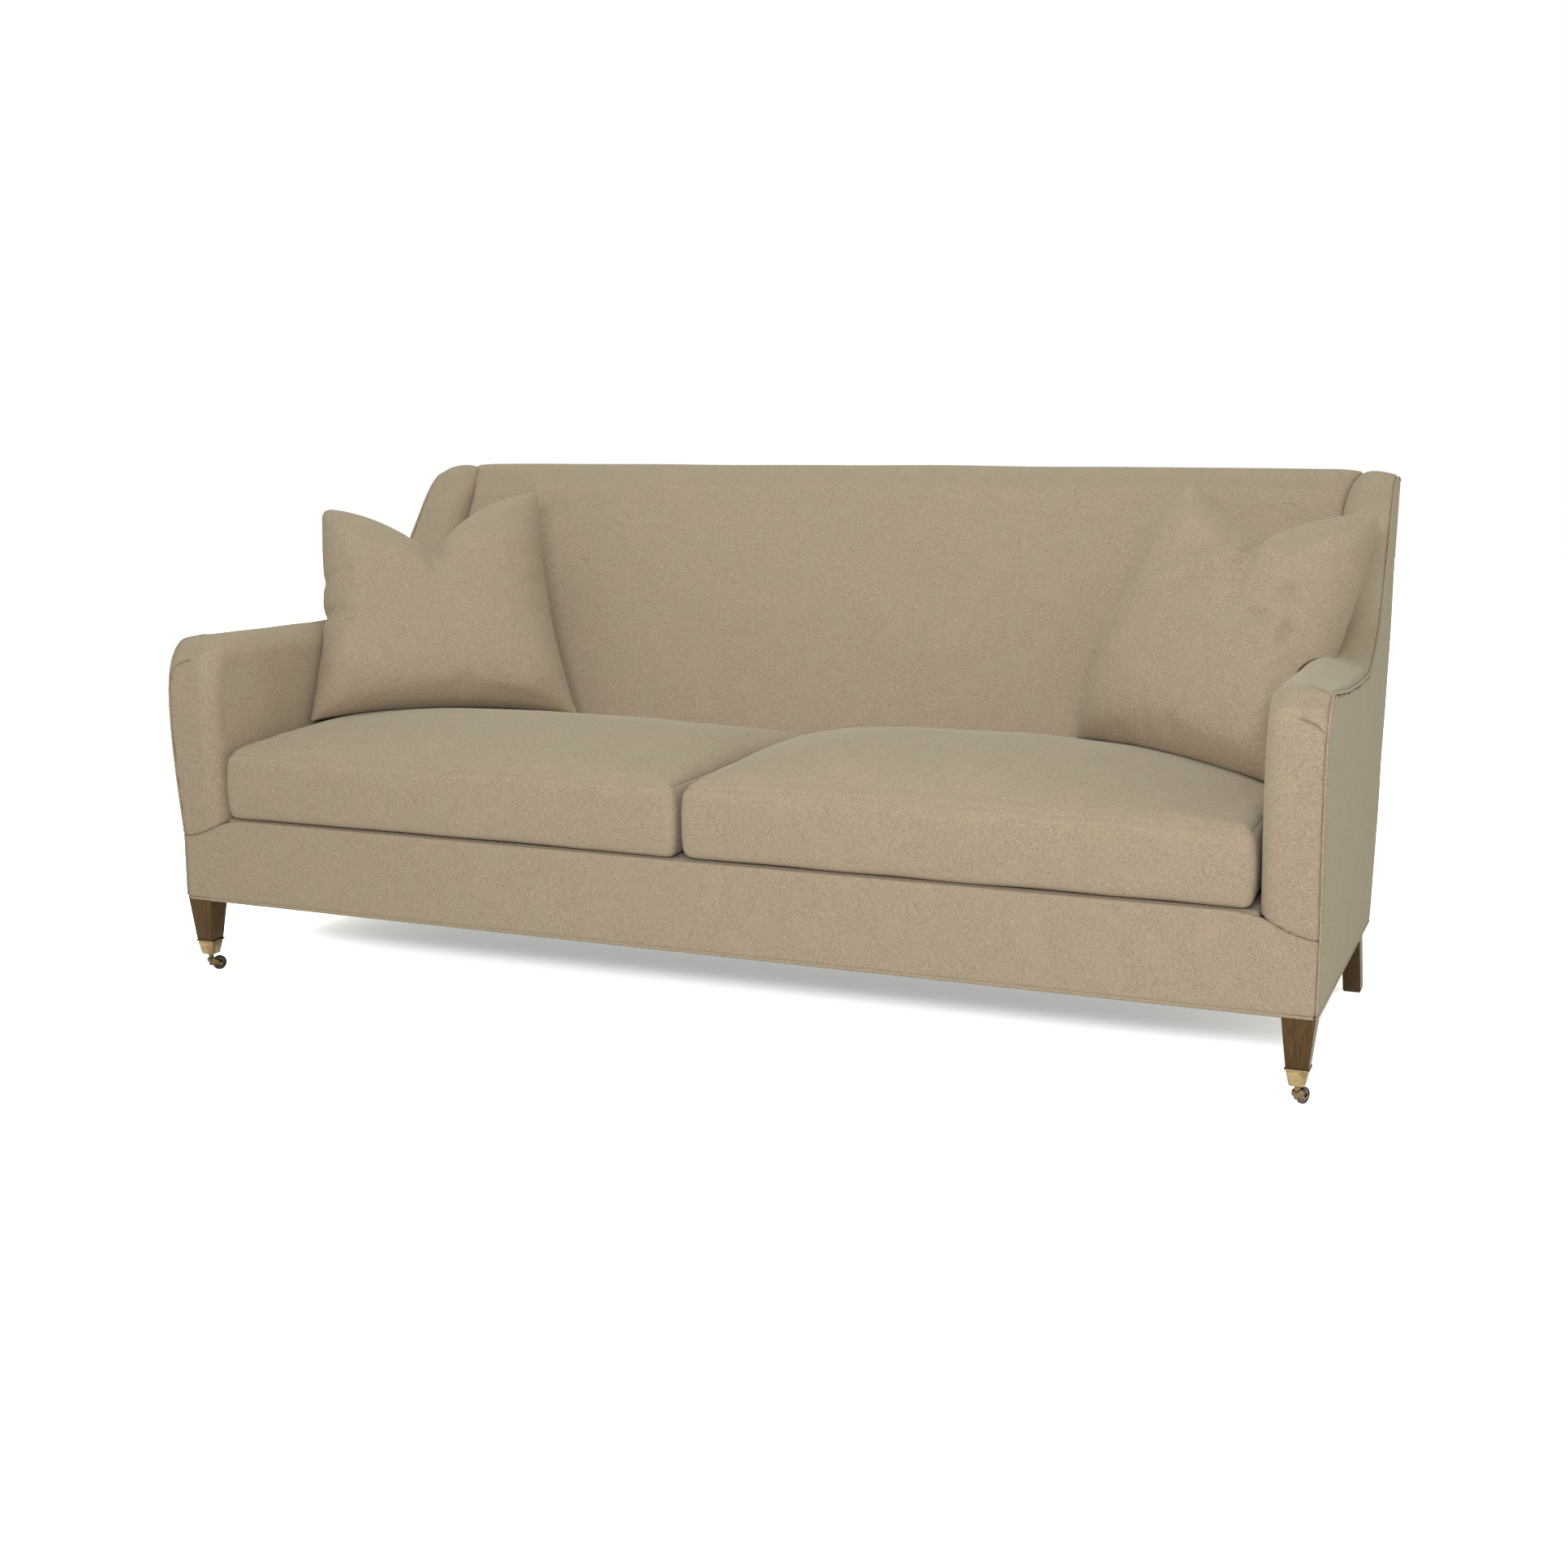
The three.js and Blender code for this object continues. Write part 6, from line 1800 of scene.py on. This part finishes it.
@dataclass
class Studio:
    """A white floor, soft light and the camera."""

    camera_place: tuple[float, float, float] = (1.4358, -3.4749, 1.0121)
    camera_turn_degrees: tuple[float, float, float] = (80.129, 0.0, 22.767)
    lens: float = 46.08
    floor_reach: float = 14.0
    floor_colour: Colour = (0.80, 0.80, 0.80)
    # Painted light and shade: the floor's camera-only glow is least in a box under the sofa (shade_glow), a
    # painted shadow zone, rises near the sofa (near_glow) and turns plain white further off and beyond the
    # sides.
    shade_glow: float = 0.27
    near_glow: float = 0.52
    # Painted light: the camera sees the floor with this colour above 1, which makes the lit floor brighter than
    # its lamps do.
    seen_floor: Colour = (2.53, 2.44, 2.60)
    shade_reach: float = 0.11
    near_reach: float = 0.60
    side_glow: tuple[float, float] = (1.01, 1.06)
    shade_middle: float = 0.30
    glow_shift: float = 0.04
    shade_half: tuple[float, float] = (1.03, 0.40)
    sky_colour: Colour = (0.95, 1.0, 0.82)
    sky_strength: float = 0.46
    lamps: Sequence[Lamp] = field(default_factory=lambda: (
        Lamp("key", (1.3, -4.0, 1.65), (1.5, 0.5), 80.0, (0.960, 0.930, 1.0)),
        Lamp("top", (-0.2, -0.4, 3.3), (3.2, 1.8), 30.0, (0.84, 0.91, 1.0)),
        Lamp("side", (4.2, -0.2, 1.6), (1.6, 1.6), 7.0, (0.90, 1.0, 0.85)),
    ))

    def build(self) -> None:
        """Makes the camera, the lamps, the world and the floor."""
        scene = bpy.context.scene
        scene.view_settings.view_transform = "Standard"
        data = bpy.data.cameras.new("camera")
        data.lens = self.lens
        camera = bpy.data.objects.new("camera", data)
        camera.location = self.camera_place
        camera.rotation_euler = [math.radians(a) for a in self.camera_turn_degrees]
        scene.collection.objects.link(camera)
        scene.camera = camera
        for lamp in self.lamps:
            lamp.build()
        self.build_world()
        self.build_floor()

    def seen_directly(self, tree: bpy.types.NodeTree) -> bpy.types.NodeSocket:
        """A socket that is 1 for what the camera, a gloss or a glass sees."""
        path = tree.nodes.new("ShaderNodeLightPath")
        most = path.outputs["Is Camera Ray"]
        for name in ("Is Glossy Ray", "Is Transmission Ray"):
            larger = tree.nodes.new("ShaderNodeMath")
            larger.operation = "MAXIMUM"
            tree.links.new(most, larger.inputs[0])
            tree.links.new(path.outputs[name], larger.inputs[1])
            most = larger.outputs[0]
        return most

    def build_world(self) -> None:
        """A soft sky that lights the sofa, seen as plain white."""
        world = bpy.data.worlds.new("studio")
        world.use_nodes = True
        tree = world.node_tree
        sky = tree.nodes["Background"]
        sky.inputs["Color"].default_value = (*self.sky_colour, 1.0)
        sky.inputs["Strength"].default_value = self.sky_strength
        white = tree.nodes.new("ShaderNodeBackground")
        white.inputs["Color"].default_value = (1.0, 1.0, 1.0, 1.0)
        white.inputs["Strength"].default_value = 1.0
        mix = tree.nodes.new("ShaderNodeMixShader")
        tree.links.new(self.seen_directly(tree), mix.inputs[0])
        tree.links.new(sky.outputs[0], mix.inputs[1])
        tree.links.new(white.outputs[0], mix.inputs[2])
        tree.links.new(mix.outputs[0], tree.nodes["World Output"].inputs[0])
        bpy.context.scene.world = world

    def build_floor(self) -> None:
        """A pale floor that keeps the sofa's shadow; to the camera it also glows, least in a box under the
        sofa, which paints a darker shadow zone there, and plain white further off.
        """
        reach = self.floor_reach
        corners = np.array([(x * reach, y * reach, 0.0) for x, y in ((-1, -1), (1, -1), (1, 1), (-1, 1))])
        floor = mesh_object("floor", corners, [(0, 1, 2, 3)])
        g = Graph("studio_floor")
        seen = self.seen_directly(g.tree)
        inputs = {0: g.place, 1: (0.0, self.shade_middle, 0.0)}
        centred = g.add("VectorMath", inputs, operation="SUBTRACT").outputs[0]
        centred = g.add("VectorMath", {0: centred}, operation="ABSOLUTE").outputs[0]
        inputs = {0: centred, 1: (*self.shade_half, 0.0)}
        beyond = g.add("VectorMath", inputs, operation="SUBTRACT").outputs[0]
        beyond = g.add("VectorMath", {0: beyond, 1: (0.0, 0.0, 0.0)}, operation="MAXIMUM").outputs[0]
        distance = g.add("VectorMath", {0: beyond}, operation="LENGTH").outputs[1]
        # Painted shadow: the glow stays low in the box under the sofa and rises to white away from it.
        near = g.spread(distance, 0.0, self.shade_reach, self.shade_glow, self.near_glow)
        rest = g.spread(distance, self.near_reach / 2, self.near_reach, 0.0, 1.0 - self.near_glow)
        across = g.add("SeparateXYZ", {0: g.place}).outputs[0]
        aside = g.maths("ABSOLUTE", g.maths("ADD", across, self.glow_shift))
        far = g.maths("MAXIMUM", g.maths("ADD", near, rest), g.spread(aside, *self.side_glow))
        glow = g.maths("MULTIPLY", far, seen)
        g.feed(g.shader.inputs["Emission Color"], (1.0, 1.0, 1.0, 1.0))
        g.feed(g.shader.inputs["Emission Strength"], glow)
        # Painted light: a camera-only floor colour above 1 brightens the lit floor.
        colour = g.mix(seen, self.floor_colour, self.seen_floor)
        floor.data.materials.append(g.finish(colour, 0.9, Specular_IOR_Level=0.0))


def throw_pillows(lines: SofaLines) -> list[ThrowPillow]:
    """The two pillows as they stand, each with its four ears in depth terms."""
    left = ThrowPillow(
        Side.LEFT,
        ((-0.928, 0.240, 0.450), (-0.500, 0.560, 0.450), (-0.686, 0.740, 0.897), (-0.990, 0.385, 0.868)),
        Chop(-0.05, 0.096, (2.0, 3.0), crease=0.35),
        notches=((0.30, 0.004, 0.05), (-0.03, 0.009, 0.07)),
        bend=0.045,
    )
    right = ThrowPillow(
        Side.RIGHT,
        ((0.520, 0.560, 0.460), (0.932, 0.340, 0.428), (1.042, 0.611, 0.877), (0.681, 0.700, 0.937)),
        Chop(0.13, 0.062, (1.1, 2.2), fold=0.042, fold_reach=1.15),
        edge_draw=(-0.025, -0.005, 0.006, 0.024),
        dents=((0.62, 0.27, 0.10, 0.050, 0.014), (0.42, 0.06, 0.11, 0.045, 0.009),
               (0.70, -0.02, 0.05, 0.09, 0.014)),
    )
    for pillow in (left, right):
        pillow.ears = [(x, depth + lines.front, z) for x, depth, z in pillow.ears]
    return [left, right]


def main() -> None:
    """Builds the studio and dresses the sofa, piece by piece."""
    logging.basicConfig(level=logging.INFO, format="%(message)s")
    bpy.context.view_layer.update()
    Studio().build()
    lines = SofaLines.read()
    finishes = Finishes()
    FrameNodes().build(finishes)
    arms = ArmAndWing(lines)
    arms.build(finishes)
    Base(lines).build(finishes)
    back = Back(lines)
    back.build(finishes)
    crowns = {Side.LEFT: Crown(0.049, 0.0, 4.0, 2.4, 1.15, 2.0, 1.1, 1.3),
              Side.RIGHT: Crown(0.060, 0.0, 4.6, 1.4, 0.90, 2.8, 0.8, 1.3)}
    for side, pillow in zip(Side, throw_pillows(lines)):
        cushion = SeatCushion(lines, side, crowns[side])
        cushion.build(finishes)
        flip = side.value
        pillow.build(finishes, (cushion.form, lambda x, y, z: arms.padded(flip * x, y, z), back.inside))
        FrontLeg(side).build(finishes)
        RearLeg(side).build(finishes)


if __name__ == "__main__":
    main()
